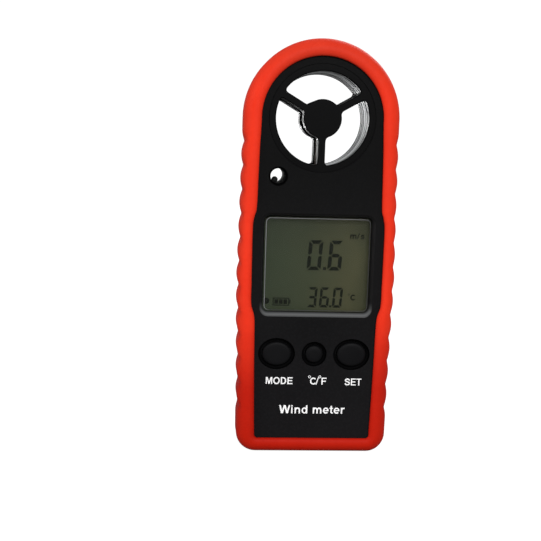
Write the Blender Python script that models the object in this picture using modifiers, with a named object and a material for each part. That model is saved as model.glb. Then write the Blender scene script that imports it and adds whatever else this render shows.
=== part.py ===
"""Handheld vane anemometer (weather meter): a flat pocket instrument with a round head that
holds a small impeller in a through duct, a display window, three keys and a coin-cell battery,
in a black two-part case inside a red rubber boot.

Frame: metres, +Z up along the body, +X to the right of someone reading the display, the display
faces -Y.  The origin is the middle of the base.  Lengths below are in millimetres and are turned
into metres when a mesh is made.
"""
import math

import bmesh
import bpy
import numpy as np
from mathutils import Matrix, Vector

MM = 0.001

# ---------------------------------------------------------------- driving dimensions (mm)
LENGTH = 105.0          # overall height
THICK = 17.0            # overall depth over the boot
HEAD_Z = 85.45          # duct axis height
HEAD_R = LENGTH - HEAD_Z  # outer radius of the round head
CORNER_R = 5.0          # bottom corners of the boot
# half width of the boot's crest line against height
HALF_WIDTH = ((0, 19.50), (8, 19.58), (16, 19.68), (26, 19.86), (36, 20.07), (46, 20.18),
              (57, 19.96), (70, 19.76), (85.45, HEAD_R))
BOOT_WALL = 1.8
GAP = 0.3               # clearance between neighbouring pieces
CASE_INSET = BOOT_WALL + GAP
CASE_WALL = 1.5
FACE_Y = 7.2            # distance of the case's front and rear faces from the middle plane
FACE_WALL = 1.6
LIP_Y = FACE_Y + GAP    # inner side of the boot's lips
SPLIT = 0.15            # half gap of the case's parting line

NOTCH_FIRST, NOTCH_PITCH, NOTCH_COUNT = 12.35, 6.11, 12   # grip scallops
NOTCH_R, NOTCH_DEPTH = 1.6, 0.6

# opening of the boot's front lip: half width against height, with the wider part at the display
OPEN_TOP_Z, OPEN_TOP_R, OPEN_BOTTOM = 85.45, 15.0, 4.25
OPEN_FRONT = ((5.2, 14.80), (10, 14.92), (16, 15.08), (24, 15.26), (34.4, 15.44), (36.4, 15.66), (38.8, 16.36),
              (44, 16.46), (52, 16.50), (59.2, 16.46), (61.2, 16.10), (62.9, 15.66), (70, 15.46), (78, 15.26))
OPEN_REAR = ((8.2, 14.7), (30, 15.1), (60, 15.3), (78, 15.15))

DUCT_R = 11.5           # free radius of the air duct
GUARD_R = 12.9          # guard ring's outer radius, seated in the case
FLANGE_R = 14.1
HUB_R = 4.8
SPOKE_W = 1.8
SPOKES_DEG = (30.0, 150.0, 270.0)

IMPELLER_R, IMPELLER_HUB_R, BLADES = 10.9, 3.4, 6
BLADE_CHORD, BLADE_T, BLADE_PITCH = 3.6, 0.5, 40.0
SHAFT_R = 0.4

VENT_X, VENT_Z, VENT_R, VENT_WALL = -10.5, 71.1, 2.0, 0.9   # air temperature sensor's port

WIN_X, WIN_Z0, WIN_Z1 = 13.5, 37.0, 61.15      # window opening in the front cover
WIN_BEVEL, WIN_DROP = 0.9, 0.8                 # its sloping border
KEYS = (("mode", -9.6, 26.2, 3.70, 3.05), ("unit", 0.0, 26.2, 2.2, 2.2), ("set", 9.6, 26.2, 3.70, 3.05))
KEY_TRAVEL = 0.45        # along +Y, until the switch closes
KEY_PROUD = 0.1

DOOR_Z, DOOR_R, SEAT_R = 22.0, 11.7, 12.0
LUG_R, LUG_DEG, DOOR_TURN = 12.9, 20.0, 50.0
CELL_R, CELL_Y0, CELL_Y1 = 10.0, 2.1, 5.3
BOSSES = ((-12.2, 10.5), (12.2, 10.5), (-12.8, 65.3), (12.8, 65.3))
BOARD_Y0, BOARD_Y1 = -0.6, 0.4


# ---------------------------------------------------------------- scene and collections
for old in list(bpy.data.objects):
    bpy.data.objects.remove(old, do_unlink=True)

body_collection = bpy.data.collections.new("weather_meter")
cutter_collection = bpy.data.collections.new("cutters")
bpy.context.scene.collection.children.link(body_collection)
bpy.context.scene.collection.children.link(cutter_collection)

MATERIALS = {}


def material(name, rgb, rough, metal=0.0, alpha=1.0):
    if name not in MATERIALS:
        m = bpy.data.materials.new(name)
        m.use_nodes = True
        shader = m.node_tree.nodes["Principled BSDF"]
        shader.inputs["Base Color"].default_value = (*rgb, 1.0)
        shader.inputs["Roughness"].default_value = rough
        shader.inputs["Metallic"].default_value = metal
        shader.inputs["Alpha"].default_value = alpha
        MATERIALS[name] = m
    return MATERIALS[name]


RED = material("boot_rubber", (0.80, 0.045, 0.02), 0.55)
BLACK = material("case_plastic", (0.012, 0.012, 0.013), 0.5)
KEYCAP = material("key_rubber", (0.014, 0.014, 0.016), 0.6)
CLEAR = material("window_clear", (0.85, 0.88, 0.86), 0.05, 0.0, 0.2)
LCD = material("lcd_glass", (0.07, 0.085, 0.06), 0.15)
SILVER = material("liner_silver", (0.55, 0.57, 0.58), 0.35, 0.7)
BLADE = material("impeller_clear", (0.85, 0.9, 0.92), 0.1, 0.0, 0.3)
STEEL = material("steel", (0.6, 0.6, 0.62), 0.3, 1.0)
BRASS = material("brass", (0.75, 0.55, 0.25), 0.3, 1.0)
BOARD = material("board_green", (0.02, 0.16, 0.06), 0.5)
CHIP = material("chip_black", (0.02, 0.02, 0.022), 0.45)
WHITE = material("light_guide", (0.8, 0.8, 0.78), 0.5)
SEAL = material("seal_rubber", (0.03, 0.03, 0.03), 0.7)
AMBER = material("ribbon_amber", (0.5, 0.22, 0.04), 0.4)
MAGNET = material("magnet_dark", (0.12, 0.12, 0.13), 0.35, 0.6)


# ---------------------------------------------------------------- makers
def finish(bm, name, mat, cutter):
    bmesh.ops.remove_doubles(bm, verts=bm.verts, dist=1e-6)
    bmesh.ops.recalc_face_normals(bm, faces=bm.faces)
    mesh = bpy.data.meshes.new(name)
    bm.to_mesh(mesh)
    bm.free()
    obj = bpy.data.objects.new(name, mesh)
    if cutter:
        cutter_collection.objects.link(obj)
        obj.hide_render = True
        obj.display_type = "WIRE"
    else:
        body_collection.objects.link(obj)
        if mat:
            mesh.materials.append(mat)
    return obj


def plate(name, outline, y0, y1, mat=None, cutter=False, soft=0.0, segments=2):
    """A flat outline of (x, z) points between two depths: a filled 2D curve, extruded."""
    curve = bpy.data.curves.new(name + "_outline", "CURVE")
    curve.dimensions = "2D"
    curve.fill_mode = "BOTH"
    curve.extrude = abs(y1 - y0) / 2 * MM
    spline = curve.splines.new("POLY")
    spline.points.add(len(outline) - 1)
    for point, (x, z) in zip(spline.points, outline):
        point.co = (x * MM, z * MM, 0, 1)
    spline.use_cyclic_u = True
    helper = bpy.data.objects.new(name + "_outline", curve)
    cutter_collection.objects.link(helper)
    helper.matrix_world = (Matrix.Translation((0, (y0 + y1) / 2 * MM, 0))
                           @ Matrix.Rotation(math.pi / 2, 4, "X"))
    bpy.context.view_layer.update()
    graph = bpy.context.evaluated_depsgraph_get()
    mesh = bpy.data.meshes.new_from_object(helper.evaluated_get(graph))
    bm = bmesh.new()
    bm.from_mesh(mesh)
    bmesh.ops.transform(bm, matrix=helper.matrix_world, verts=bm.verts)
    bmesh.ops.remove_doubles(bm, verts=bm.verts, dist=1e-6)
    bmesh.ops.dissolve_limit(bm, angle_limit=math.radians(0.5), verts=bm.verts, edges=bm.edges)
    bpy.data.objects.remove(helper, do_unlink=True)
    bpy.data.curves.remove(curve)
    bpy.data.meshes.remove(mesh)
    if soft:
        rims = [e for e in bm.edges if len(e.link_faces) == 2
                and e.calc_face_angle(0.0) > math.radians(60)
                and abs(e.verts[0].co.y - e.verts[1].co.y) < 1e-6]
        bmesh.ops.bevel(bm, geom=rims, offset=soft * MM, offset_type="OFFSET", segments=segments,
                        profile=0.5, affect="EDGES", clamp_overlap=True)
    return finish(bm, name, mat, cutter)


def rod(name, r, y0, y1, x=0.0, z=0.0, sides=24, mat=None, cutter=False, rx=None, soft=0.0, r1=None):
    """A round or oval bar along Y."""
    bm = bmesh.new()
    bmesh.ops.create_cone(bm, cap_ends=True, segments=sides, radius1=r * MM,
                          radius2=(r if r1 is None else r1) * MM, depth=(y1 - y0) * MM)
    turn = Matrix.Rotation(-math.pi / 2, 4, "X")        # local +Z to +Y
    squeeze = Matrix.Diagonal(((rx / r) if rx else 1.0, 1.0, 1.0, 1.0))
    place = Matrix.Translation((x * MM, (y0 + y1) / 2 * MM, z * MM))
    bmesh.ops.transform(bm, matrix=place @ squeeze @ turn, verts=bm.verts)
    if soft:
        rims = [e for e in bm.edges if max(abs(v.co.y - y0 * MM) for v in e.verts) < 1e-7]
        bmesh.ops.bevel(bm, geom=rims, offset=soft * MM, offset_type="OFFSET", segments=2,
                        profile=0.5, affect="EDGES", clamp_overlap=True)
    return finish(bm, name, mat, cutter)


def box(name, x0, x1, y0, y1, z0, z1, mat=None, cutter=False, turn_deg=0.0, about=(0.0, 0.0), soft=0.0):
    """A box, optionally turned about an axis along Y through the point about = (x, z)."""
    bm = bmesh.new()
    bmesh.ops.create_cube(bm, size=1.0)
    size = Matrix.Diagonal(((x1 - x0) * MM, (y1 - y0) * MM, (z1 - z0) * MM, 1.0))
    place = Matrix.Translation(((x0 + x1) / 2 * MM, (y0 + y1) / 2 * MM, (z0 + z1) / 2 * MM))
    pivot = Matrix.Translation((about[0] * MM, 0, about[1] * MM))
    spin = Matrix.Rotation(math.radians(-turn_deg), 4, "Y")
    bmesh.ops.transform(bm, matrix=pivot @ spin @ pivot.inverted() @ place @ size, verts=bm.verts)
    if soft:
        bmesh.ops.bevel(bm, geom=list(bm.edges), offset=soft * MM, offset_type="OFFSET", segments=1,
                        profile=0.5, affect="EDGES", clamp_overlap=True)
    return finish(bm, name, mat, cutter)


def turned(name, profile, x=0.0, z=0.0, steps=48, mat=None, cutter=False):
    """A closed (radius, y) profile turned about an axis along Y, with a Screw modifier."""
    mesh = bpy.data.meshes.new(name + "_profile")
    bm = bmesh.new()
    verts = [bm.verts.new((r * MM, 0.0, y * MM)) for r, y in profile]
    for a, b in zip(verts, verts[1:] + verts[:1]):
        bm.edges.new((a, b))
    bm.to_mesh(mesh)
    bm.free()
    helper = bpy.data.objects.new(name + "_profile", mesh)
    cutter_collection.objects.link(helper)
    screw = helper.modifiers.new("turn", "SCREW")
    screw.axis = "Z"
    screw.angle = 2 * math.pi
    screw.steps = screw.render_steps = steps
    screw.use_merge_vertices = True
    screw.merge_threshold = 1e-5
    bpy.context.view_layer.update()
    graph = bpy.context.evaluated_depsgraph_get()
    solid = bpy.data.meshes.new_from_object(helper.evaluated_get(graph))
    bm = bmesh.new()
    bm.from_mesh(solid)
    place = Matrix.Translation((x * MM, 0, z * MM)) @ Matrix.Rotation(-math.pi / 2, 4, "X")
    bmesh.ops.transform(bm, matrix=place, verts=bm.verts)
    bpy.data.objects.remove(helper, do_unlink=True)
    bpy.data.meshes.remove(mesh)
    bpy.data.meshes.remove(solid)
    return finish(bm, name, mat, cutter)


def loft(name, ring0, y0, ring1, y1, mat=None, cutter=False):
    """A solid between two (x, z) outlines with the same number of points, at two depths."""
    bm = bmesh.new()
    a = [bm.verts.new((x * MM, y0 * MM, z * MM)) for x, z in ring0]
    b = [bm.verts.new((x * MM, y1 * MM, z * MM)) for x, z in ring1]
    n = len(a)
    for i in range(n):
        bm.faces.new((a[i], a[(i + 1) % n], b[(i + 1) % n], b[i]))
    bm.faces.new(a)
    bm.faces.new(list(reversed(b)))
    return finish(bm, name, mat, cutter)


def joined(name, objects):
    """Several cutters that stand apart, as one cutter."""
    bm = bmesh.new()
    for o in objects:
        bm.from_mesh(o.data)
    for o in objects:
        bpy.data.objects.remove(o, do_unlink=True)
    return finish(bm, name, None, True)


def combine(obj, other, operation):
    m = obj.modifiers.new(other.name, "BOOLEAN")
    m.operation = operation
    m.object = other
    m.solver = "EXACT"
    return obj


def cut(obj, other):
    return combine(obj, other, "DIFFERENCE")


def add(obj, other):
    return combine(obj, other, "UNION")


def put_origin(obj, x, y, z):
    """Moves the object's origin to a point of its joint's axis, leaving its shape in place."""
    p = Vector((x, y, z)) * MM
    obj.data.transform(Matrix.Translation(-p))
    obj.location = p


def smooth(obj, degrees=35):
    obj.data.shade_smooth()
    obj.data.set_sharp_from_angle(angle=math.radians(degrees))


# ---------------------------------------------------------------- outlines, as (x, z) in mm
def smooth_table(table, z):
    """Cubic through a table of (z, value), with slopes from the neighbours."""
    zs = [t[0] for t in table]
    vs = [t[1] for t in table]
    if z <= zs[0]:
        return vs[0]
    if z >= zs[-1]:
        return vs[-1]
    i = int(np.searchsorted(zs, z) - 1)
    slope = [0.0] * len(zs)
    for k in range(1, len(zs) - 1):
        slope[k] = (vs[k + 1] - vs[k - 1]) / (zs[k + 1] - zs[k - 1])
    h = zs[i + 1] - zs[i]
    t = (z - zs[i]) / h
    return ((2 * t**3 - 3 * t**2 + 1) * vs[i] + (t**3 - 2 * t**2 + t) * h * slope[i]
            + (-2 * t**3 + 3 * t**2) * vs[i + 1] + (t**3 - t**2) * h * slope[i + 1])


def body_outline(inset, arc=18, side=6, corner=3, bottom=None):
    """The body's outline, moved inwards by inset, anticlockwise from the base's middle."""
    z0 = inset if bottom is None else bottom
    r = max(CORNER_R - inset, 1.2)
    half = []
    w0 = smooth_table(HALF_WIDTH, z0 + r) - inset
    for k in range(corner + 1):
        t = -math.pi / 2 + k * math.pi / 2 / corner
        half.append((w0 - r + r * math.cos(t), z0 + r + r * math.sin(t)))
    low = z0 + r
    for k in range(1, side):
        z = low + (HEAD_Z - low) * k / side
        half.append((smooth_table(HALF_WIDTH, z) - inset, z))
    top = []
    radius = HEAD_R - inset
    for k in range(arc + 1):
        t = k * math.pi / arc
        top.append((radius * math.cos(t), HEAD_Z + radius * math.sin(t)))
    left = [(-x, z) for x, z in reversed(half)]
    return half + top + left


def opening_outline(table, inset=0.0, arc=18, corner_r=0.9, bottom=OPEN_BOTTOM):
    """The boot's opening: a round top, sides from a table, small round corners at the bottom."""
    z0 = bottom + inset
    w0 = table[0][1] - inset
    half = [(w0 - corner_r + corner_r * math.cos(t), z0 + corner_r + corner_r * math.sin(t))
            for t in (-math.pi / 2, -math.pi / 4, 0)]
    half += [(w - inset, z) for z, w in table[1:] if z > z0 + corner_r + 0.2]
    radius = OPEN_TOP_R - inset
    top = [(radius * math.cos(k * math.pi / arc), OPEN_TOP_Z + radius * math.sin(k * math.pi / arc))
           for k in range(arc + 1)]
    return half + top + [(-x, z) for x, z in reversed(half)]


def round_rect(x0, x1, z0, z1, r, steps=3):
    points = []
    for cx, cz, start in ((x1 - r, z0 + r, -90), (x1 - r, z1 - r, 0), (x0 + r, z1 - r, 90), (x0 + r, z0 + r, 180)):
        for k in range(steps + 1):
            t = math.radians(start + 90 * k / steps)
            points.append((cx + r * math.cos(t), cz + r * math.sin(t)))
    return points


def oval(x, z, rx, rz, sides=24):
    return [(x + rx * math.cos(2 * math.pi * k / sides), z + rz * math.sin(2 * math.pi * k / sides))
            for k in range(sides)]


def sector(x, z, r0, r1, deg0, deg1, steps=6):
    out = [(x + r1 * math.cos(math.radians(deg0 + (deg1 - deg0) * k / steps)),
            z + r1 * math.sin(math.radians(deg0 + (deg1 - deg0) * k / steps))) for k in range(steps + 1)]
    inner = [(x + r0 * math.cos(math.radians(deg1 + (deg0 - deg1) * k / steps)),
              z + r0 * math.sin(math.radians(deg1 + (deg0 - deg1) * k / steps))) for k in range(steps + 1)]
    return out + inner


# ---------------------------------------------------------------- rubber boot
boot = plate("rubber_boot", body_outline(0.0, 20, 7, 4), -THICK / 2, THICK / 2, RED, soft=3.2, segments=3)
cut(boot, plate("boot_cavity", body_outline(BOOT_WALL), -LIP_Y, LIP_Y, cutter=True))
cut(boot, plate("boot_front_opening", opening_outline(OPEN_FRONT), -THICK, -LIP_Y + 0.5, cutter=True))
cut(boot, plate("boot_rear_opening", opening_outline(OPEN_REAR, corner_r=2.0, bottom=6.2), LIP_Y - 0.5, THICK, cutter=True))
notches = []
for k in range(NOTCH_COUNT):
    nz = NOTCH_FIRST + k * NOTCH_PITCH
    nx = smooth_table(HALF_WIDTH, nz) + NOTCH_R - NOTCH_DEPTH
    for side in (-1, 1):
        notches.append(rod(f"notch_{k}_{side}", NOTCH_R, -THICK, THICK, side * nx, nz, 10, cutter=True))
cut(boot, joined("grip_notches", notches))
smooth(boot)

# ---------------------------------------------------------------- front cover
front = plate("front_cover", body_outline(CASE_INSET), -FACE_Y, -SPLIT, BLACK, soft=0.5, segments=1)
cut(front, plate("front_cavity", body_outline(CASE_INSET + CASE_WALL), -FACE_Y + FACE_WALL, 2.0, cutter=True))
bosses = [rod(f"front_boss_{i}", 2.4, -FACE_Y + FACE_WALL - 0.4, BOARD_Y0 - GAP, x, z, 12, cutter=True)
          for i, (x, z) in enumerate(BOSSES)]
bosses.append(turned("front_locating_ring", ((FLANGE_R + 0.3, -FACE_Y + FACE_WALL - 0.4), (FLANGE_R + 1.2, -FACE_Y + FACE_WALL - 0.4),
                                             (FLANGE_R + 1.2, -4.4), (FLANGE_R + 0.3, -4.4)), 0, HEAD_Z, 28, cutter=True))
add(front, joined("front_bosses", bosses))
add(front, rod("front_vent_tube", VENT_R + VENT_WALL, -FACE_Y + 0.6, -0.45, VENT_X, VENT_Z, 20, cutter=True))
holes = [rod("front_guard_seat", GUARD_R + GAP, -FACE_Y - 2, -FACE_Y + FACE_WALL + 0.3, 0, HEAD_Z, 36, cutter=True),
         rod("front_vent_hole", VENT_R, -FACE_Y - 2, 2.0, VENT_X, VENT_Z, 20, cutter=True),
         plate("window_hole", round_rect(-WIN_X, WIN_X, WIN_Z0, WIN_Z1, 1.4), -FACE_Y - 2, -FACE_Y + FACE_WALL + 0.5, cutter=True)]
holes += [rod(f"front_pilot_{i}", 1.15, -FACE_Y + FACE_WALL + 0.5, 2.0, x, z, 8, cutter=True) for i, (x, z) in enumerate(BOSSES)]
holes += [plate(f"{n}_key_hole", oval(x, z, rx + GAP, rz + GAP), -FACE_Y - 2, -FACE_Y + FACE_WALL + 0.3, cutter=True)
          for n, x, z, rx, rz in KEYS]
cut(front, joined("front_holes", holes))
b = WIN_BEVEL
bevels = [loft("window_bevel", round_rect(-WIN_X - 1.5 * b, WIN_X + 1.5 * b, WIN_Z0 - 1.5 * b - 0.2, WIN_Z1 + 1.5 * b, 2.4), -FACE_Y - WIN_DROP * 0.5,
               round_rect(-WIN_X + 0.05, WIN_X - 0.05, WIN_Z0 + 0.05, WIN_Z1 - 0.05, 1.35), -FACE_Y + WIN_DROP, cutter=True)]
bevels += [loft(f"{n}_key_bevel", oval(x, z, rx + 1.6, rz + 1.5), -FACE_Y - 0.5, oval(x, z, rx + 0.2, rz + 0.2), -FACE_Y + 0.7, cutter=True)
           for n, x, z, rx, rz in KEYS]
cut(front, joined("front_bevels", bevels))
smooth(front)

# ---------------------------------------------------------------- rear cover
rear = plate("rear_cover", body_outline(CASE_INSET), SPLIT, FACE_Y, BLACK, soft=0.5, segments=1)
cut(rear, plate("rear_cavity", body_outline(CASE_INSET + CASE_WALL), -2.0, FACE_Y - FACE_WALL, cutter=True))
bosses = [rod(f"rear_boss_{i}", 2.6, BOARD_Y1 + GAP, FACE_Y - FACE_WALL + 0.4, x, z, 12, cutter=True)
          for i, (x, z) in enumerate(BOSSES)]
bosses.append(turned("rear_locating_ring", ((FLANGE_R + 0.3, 4.4), (FLANGE_R + 1.2, 4.4),
                                            (FLANGE_R + 1.2, FACE_Y - FACE_WALL + 0.4), (FLANGE_R + 0.3, FACE_Y - FACE_WALL + 0.4)),
                     0, HEAD_Z, 28, cutter=True))
bosses.append(turned("battery_bay", ((10.4, 0.7), (11.6, 0.7), (11.6, 4.0), (14.2, 4.0), (14.2, 6.0), (10.4, 6.0)),
                     0, DOOR_Z, 28, cutter=True))
add(rear, joined("rear_bosses", bosses))
add(rear, rod("rear_vent_tube", VENT_R + VENT_WALL, 0.45, FACE_Y - 0.6, VENT_X, VENT_Z, 20, cutter=True))
holes = [rod("rear_guard_seat", GUARD_R + GAP, FACE_Y - FACE_WALL - 0.3, FACE_Y + 2, 0, HEAD_Z, 36, cutter=True),
         rod("rear_vent_hole", VENT_R, -2.0, FACE_Y + 2, VENT_X, VENT_Z, 20, cutter=True),
         rod("door_seat", SEAT_R, 5.3, FACE_Y + 2, 0, DOOR_Z, 36, cutter=True)]
holes += [rod(f"rear_clear_{i}", 1.3, -2.0, 5.4, x, z, 8, cutter=True) for i, (x, z) in enumerate(BOSSES)]
cut(rear, joined("rear_holes", holes))
cut(rear, joined("rear_counterbores", [rod(f"counterbore_{i}", 2.25, 5.2, FACE_Y + 2, x, z, 16, cutter=True)
                                       for i, (x, z) in enumerate(BOSSES)]))
# the bayonet: three channels under the face, each with a way in at its open end; the door opens
# anticlockwise seen from behind
channels = [plate(f"bayonet_channel_{k}", sector(0, DOOR_Z, SEAT_R - 0.6, LUG_R + GAP, 90 + 120 * k - DOOR_TURN - 2, 90 + 120 * k + LUG_DEG + 2, 6),
                  5.4, 6.55, cutter=True) for k in range(3)]
cut(rear, joined("bayonet_channels", channels))
entries = [plate(f"bayonet_entry_{k}", sector(0, DOOR_Z, SEAT_R - 0.6, LUG_R + GAP, 90 + 120 * k - DOOR_TURN - 1.5, 90 + 120 * k + LUG_DEG - DOOR_TURN + 1.5, 3),
                 6.0, FACE_Y + 2, cutter=True) for k in range(3)]
cut(rear, joined("bayonet_entries", entries))
cut(rear, turned("seal_groove", ((10.7, 4.4), (11.8, 4.4), (11.8, 5.5), (10.7, 5.5)), 0, DOOR_Z, 28, cutter=True))
cut(rear, box("clip_notch", 9.8, 14.6, 0.0, 3.7, DOOR_Z - 2.2, DOOR_Z + 2.2, cutter=True))
smooth(rear)


# ---------------------------------------------------------------- duct: guards, liner, impeller
def guard(name, s):
    """Ring, three deep spokes and a hub; s is -1 for the front guard and 1 for the rear one."""
    def ys(*values):
        return [s * v for v in values]

    profile = ((DUCT_R, 7.5), (GUARD_R - 0.3, 7.5), (GUARD_R, 7.2), (GUARD_R, 5.3), (FLANGE_R, 5.3), (FLANGE_R, 4.7),
               (12.35, 4.7), (12.35, 6.0), (DUCT_R, 6.0))
    ring = turned(name, [(r, s * y) for r, y in profile], 0, HEAD_Z, 36, BLACK)
    for i, deg in enumerate(SPOKES_DEG):
        lo, hi = sorted(ys(2.7, 7.3))
        arm = box(f"{name}_spoke_{i}", 4.0, 11.2, lo, hi, HEAD_Z - SPOKE_W / 2, HEAD_Z + SPOKE_W / 2, cutter=True,
                  turn_deg=deg, about=(0, HEAD_Z))
        add(ring, arm)
        lo, hi = sorted(ys(6.15, 7.25))
        foot = box(f"{name}_foot_{i}", 10.6, 12.2, lo, hi, HEAD_Z - SPOKE_W / 2 - 0.02, HEAD_Z + SPOKE_W / 2 + 0.02, cutter=True,
                   turn_deg=deg, about=(0, HEAD_Z))
        add(ring, foot)
    hub = ((0.0, 2.6), (HUB_R - 0.2, 2.6), (HUB_R, 2.8), (HUB_R, 7.1), (HUB_R - 0.35, 7.45), (0.0, 7.45))
    add(ring, turned(f"{name}_hub", [(r, s * y) for r, y in hub], 0, HEAD_Z, 28, cutter=True))
    lo, hi = sorted(ys(2.0, 4.4))
    cut(ring, rod(f"{name}_bearing_pocket", 1.6, lo, hi, 0, HEAD_Z, 12, cutter=True))
    smooth(ring)
    return ring


front_guard = guard("front_guard", -1)
rear_guard = guard("rear_guard", 1)
cut(rear_guard, box("sensor_pocket", -1.3, 1.3, 1.9, 4.45, HEAD_Z - 4.35, HEAD_Z - 2.15, cutter=True))

liner = turned("duct_liner", ((11.55, -5.7), (12.05, -5.7), (12.05, 5.7), (11.55, 5.7), (11.55, 1.8), (11.72, 1.5),
                              (11.55, 1.2), (11.55, -1.2), (11.72, -1.5), (11.55, -1.8)), 0, HEAD_Z, 32, SILVER)
cut(liner, box("ribbon_slot", -0.95, 0.95, 1.95, 2.75, HEAD_Z - 12.6, HEAD_Z - 11.0, cutter=True))
smooth(liner)

impeller = turned("impeller", ((0.7, -1.7), (IMPELLER_HUB_R - 0.3, -1.7), (IMPELLER_HUB_R, -1.4), (IMPELLER_HUB_R, 1.1), (0.7, 1.1)),
                  0, HEAD_Z, 24, BLADE)
for i in range(BLADES):
    blade_bm = bmesh.new()
    bmesh.ops.create_cube(blade_bm, size=1.0)
    r0, r1 = IMPELLER_HUB_R - 0.5, IMPELLER_R - 0.35
    # a flat blade standing out along X, its chord leaning out of the plane of rotation
    blade_bm.verts.ensure_lookup_table()
    for v in blade_bm.verts:
        chord = BLADE_CHORD * (0.62 if v.co.x < 0 else 1.0)
        v.co = Vector(((r0 if v.co.x < 0 else r1) * MM, v.co.y * BLADE_T * MM, v.co.z * chord * MM))
    lean = Matrix.Rotation(math.radians(-BLADE_PITCH), 4, "X")
    spin = Matrix.Rotation(math.radians(-(30 + 360 / BLADES * i)), 4, "Y")
    bmesh.ops.transform(blade_bm, matrix=Matrix.Translation((0, -0.25 * MM, HEAD_Z * MM)) @ spin @ lean, verts=blade_bm.verts)
    add(impeller, finish(blade_bm, f"impeller_blade_{i}", None, True))
smooth(impeller)

shaft = rod("impeller_shaft", SHAFT_R, -3.4, 3.4, 0, HEAD_Z, 12, STEEL)
magnet = turned("impeller_magnet", ((0.8, 1.4), (2.6, 1.4), (2.6, 2.1), (0.8, 2.1)), 0, HEAD_Z, 20, MAGNET)
for name, s in (("front_bearing", -1), ("rear_bearing", 1)):
    cup = ((0.0, 4.1), (1.3, 4.1), (1.3, 2.7), (0.48, 2.7), (0.48, 3.7), (0.0, 3.7))
    smooth(turned(name, [(r, s * y) for r, y in cup], 0, HEAD_Z, 16, BRASS))
hall = box("hall_sensor", -1.0, 1.0, 2.9, 4.1, HEAD_Z - 4.05, HEAD_Z - 2.45, CHIP)
ribbon = box("sensor_ribbon", -0.6, 0.6, 2.25, 2.45, 70.5, HEAD_Z - 3.3, AMBER)
socket = box("ribbon_connector", -1.7, 1.7, 0.7, 3.0, 66.8, 70.2, WHITE)

# ---------------------------------------------------------------- air temperature sensor
bead_bm = bmesh.new()
bmesh.ops.create_uvsphere(bead_bm, u_segments=10, v_segments=6, radius=0.75 * MM)
bmesh.ops.transform(bead_bm, matrix=Matrix.Translation((-10.85 * MM, 0, 69.95 * MM)), verts=bead_bm.verts)
bead = finish(bead_bm, "thermistor_bead", SEAL, False)
smooth(bead, 60)
for name, dx in (("thermistor_lead_a", -0.3), ("thermistor_lead_b", 0.3)):
    lead_bm = bmesh.new()
    bmesh.ops.create_cone(lead_bm, cap_ends=True, segments=8, radius1=0.15 * MM, radius2=0.15 * MM, depth=1.0 * MM)
    bmesh.ops.transform(lead_bm, matrix=Matrix.Translation(((-10.85 + dx) * MM, -0.1 * MM, 68.4 * MM)), verts=lead_bm.verts)
    finish(lead_bm, name, STEEL, False)

# ---------------------------------------------------------------- display
window = plate("display_window", round_rect(-WIN_X + GAP, WIN_X - GAP, WIN_Z0 + GAP, WIN_Z1 - GAP, 1.2), -6.5, -5.2, CLEAR)
add(window, plate("window_flange", round_rect(-14.5, 14.5, 36.0, 62.1, 1.6), -5.3, -4.7, cutter=True))
lcd = plate("lcd_panel", round_rect(-14.1, 14.1, 36.3, 61.9, 0.4, 1), -4.3, -2.6, LCD)
frame = plate("lcd_frame", round_rect(-15.4, 15.4, 35.0, 62.5, 1.0, 2), -4.4, -0.9, BLACK)
cut(frame, plate("lcd_frame_well", round_rect(-14.4, 14.4, 36.0, 62.2, 0.5, 1), -6.0, 1.0, cutter=True))
guide = box("backlight_plate", -13.9, 13.9, -2.3, -1.1, 38.7, 59.6, WHITE)
zebra_top = box("contact_strip_upper", -12.6, 12.6, -2.3, -0.9, 60.0, 61.6, SEAL)
zebra_low = box("contact_strip_lower", -12.6, 12.6, -2.3, -0.9, 36.6, 38.3, SEAL)

# ---------------------------------------------------------------- circuit board and its parts
board_outline = [(-15.0, 5.2), (15.0, 5.2), (15.2, 30), (15.6, 50), (15.6, 66.5), (14.4, 68.4), (10.0, 72.0), (-5.6, 72.0), (-6.4, 67.6), (-15.2, 67.6), (-15.6, 50), (-15.2, 30)]
board = plate("main_board", board_outline, BOARD_Y0, BOARD_Y1, BOARD)
cut(board, joined("board_holes", [rod(f"board_hole_{i}", 1.35, -3, 3, x, z, 12, cutter=True) for i, (x, z) in enumerate(BOSSES)]))
mcu = box("microcontroller", -4.5, 4.5, 0.7, 1.9, 46.0, 55.0, CHIP, soft=0.15)
crystal = box("crystal_can", 7.2, 9.4, 0.7, 2.1, 46.5, 51.5, STEEL, soft=0.2)
cap_bm = bmesh.new()
bmesh.ops.create_cone(cap_bm, cap_ends=True, segments=16, radius1=1.6 * MM, radius2=1.6 * MM, depth=5.0 * MM)
bmesh.ops.transform(cap_bm, matrix=Matrix.Translation((-9.5 * MM, 2.4 * MM, 50.5 * MM)), verts=cap_bm.verts)
finish(cap_bm, "supply_capacitor", MAGNET, False)

# ---------------------------------------------------------------- keys
for n, x, z, rx, rz in KEYS:
    key = plate(f"{n}_button", oval(x, z, rx, rz), -FACE_Y - KEY_PROUD, -5.0, KEYCAP, soft=0.35, segments=2)
    add(key, plate(f"{n}_key_flange", oval(x, z, rx + 0.75, rz + 0.75, 16), -5.3, -4.65, cutter=True))
    add(key, rod(f"{n}_key_stem", 1.2, -4.9, -3.2, x, z, 12, cutter=True))
    smooth(key, 40)
    plunger = rod(f"{n}_plunger", 1.0, -2.9, -1.75, x, z, 12, CHIP)
    switch = box(f"{n}_switch", x - 2.5, x + 2.5, -2.2, -0.9, z - 2.5, z + 2.5, STEEL)
    cut(switch, rod(f"{n}_switch_well", 1.35, -4.0, -1.1, x, z, 12, cutter=True))
    put_origin(key, x, -FACE_Y, z)
    put_origin(plunger, x, -2.9, z)

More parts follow.
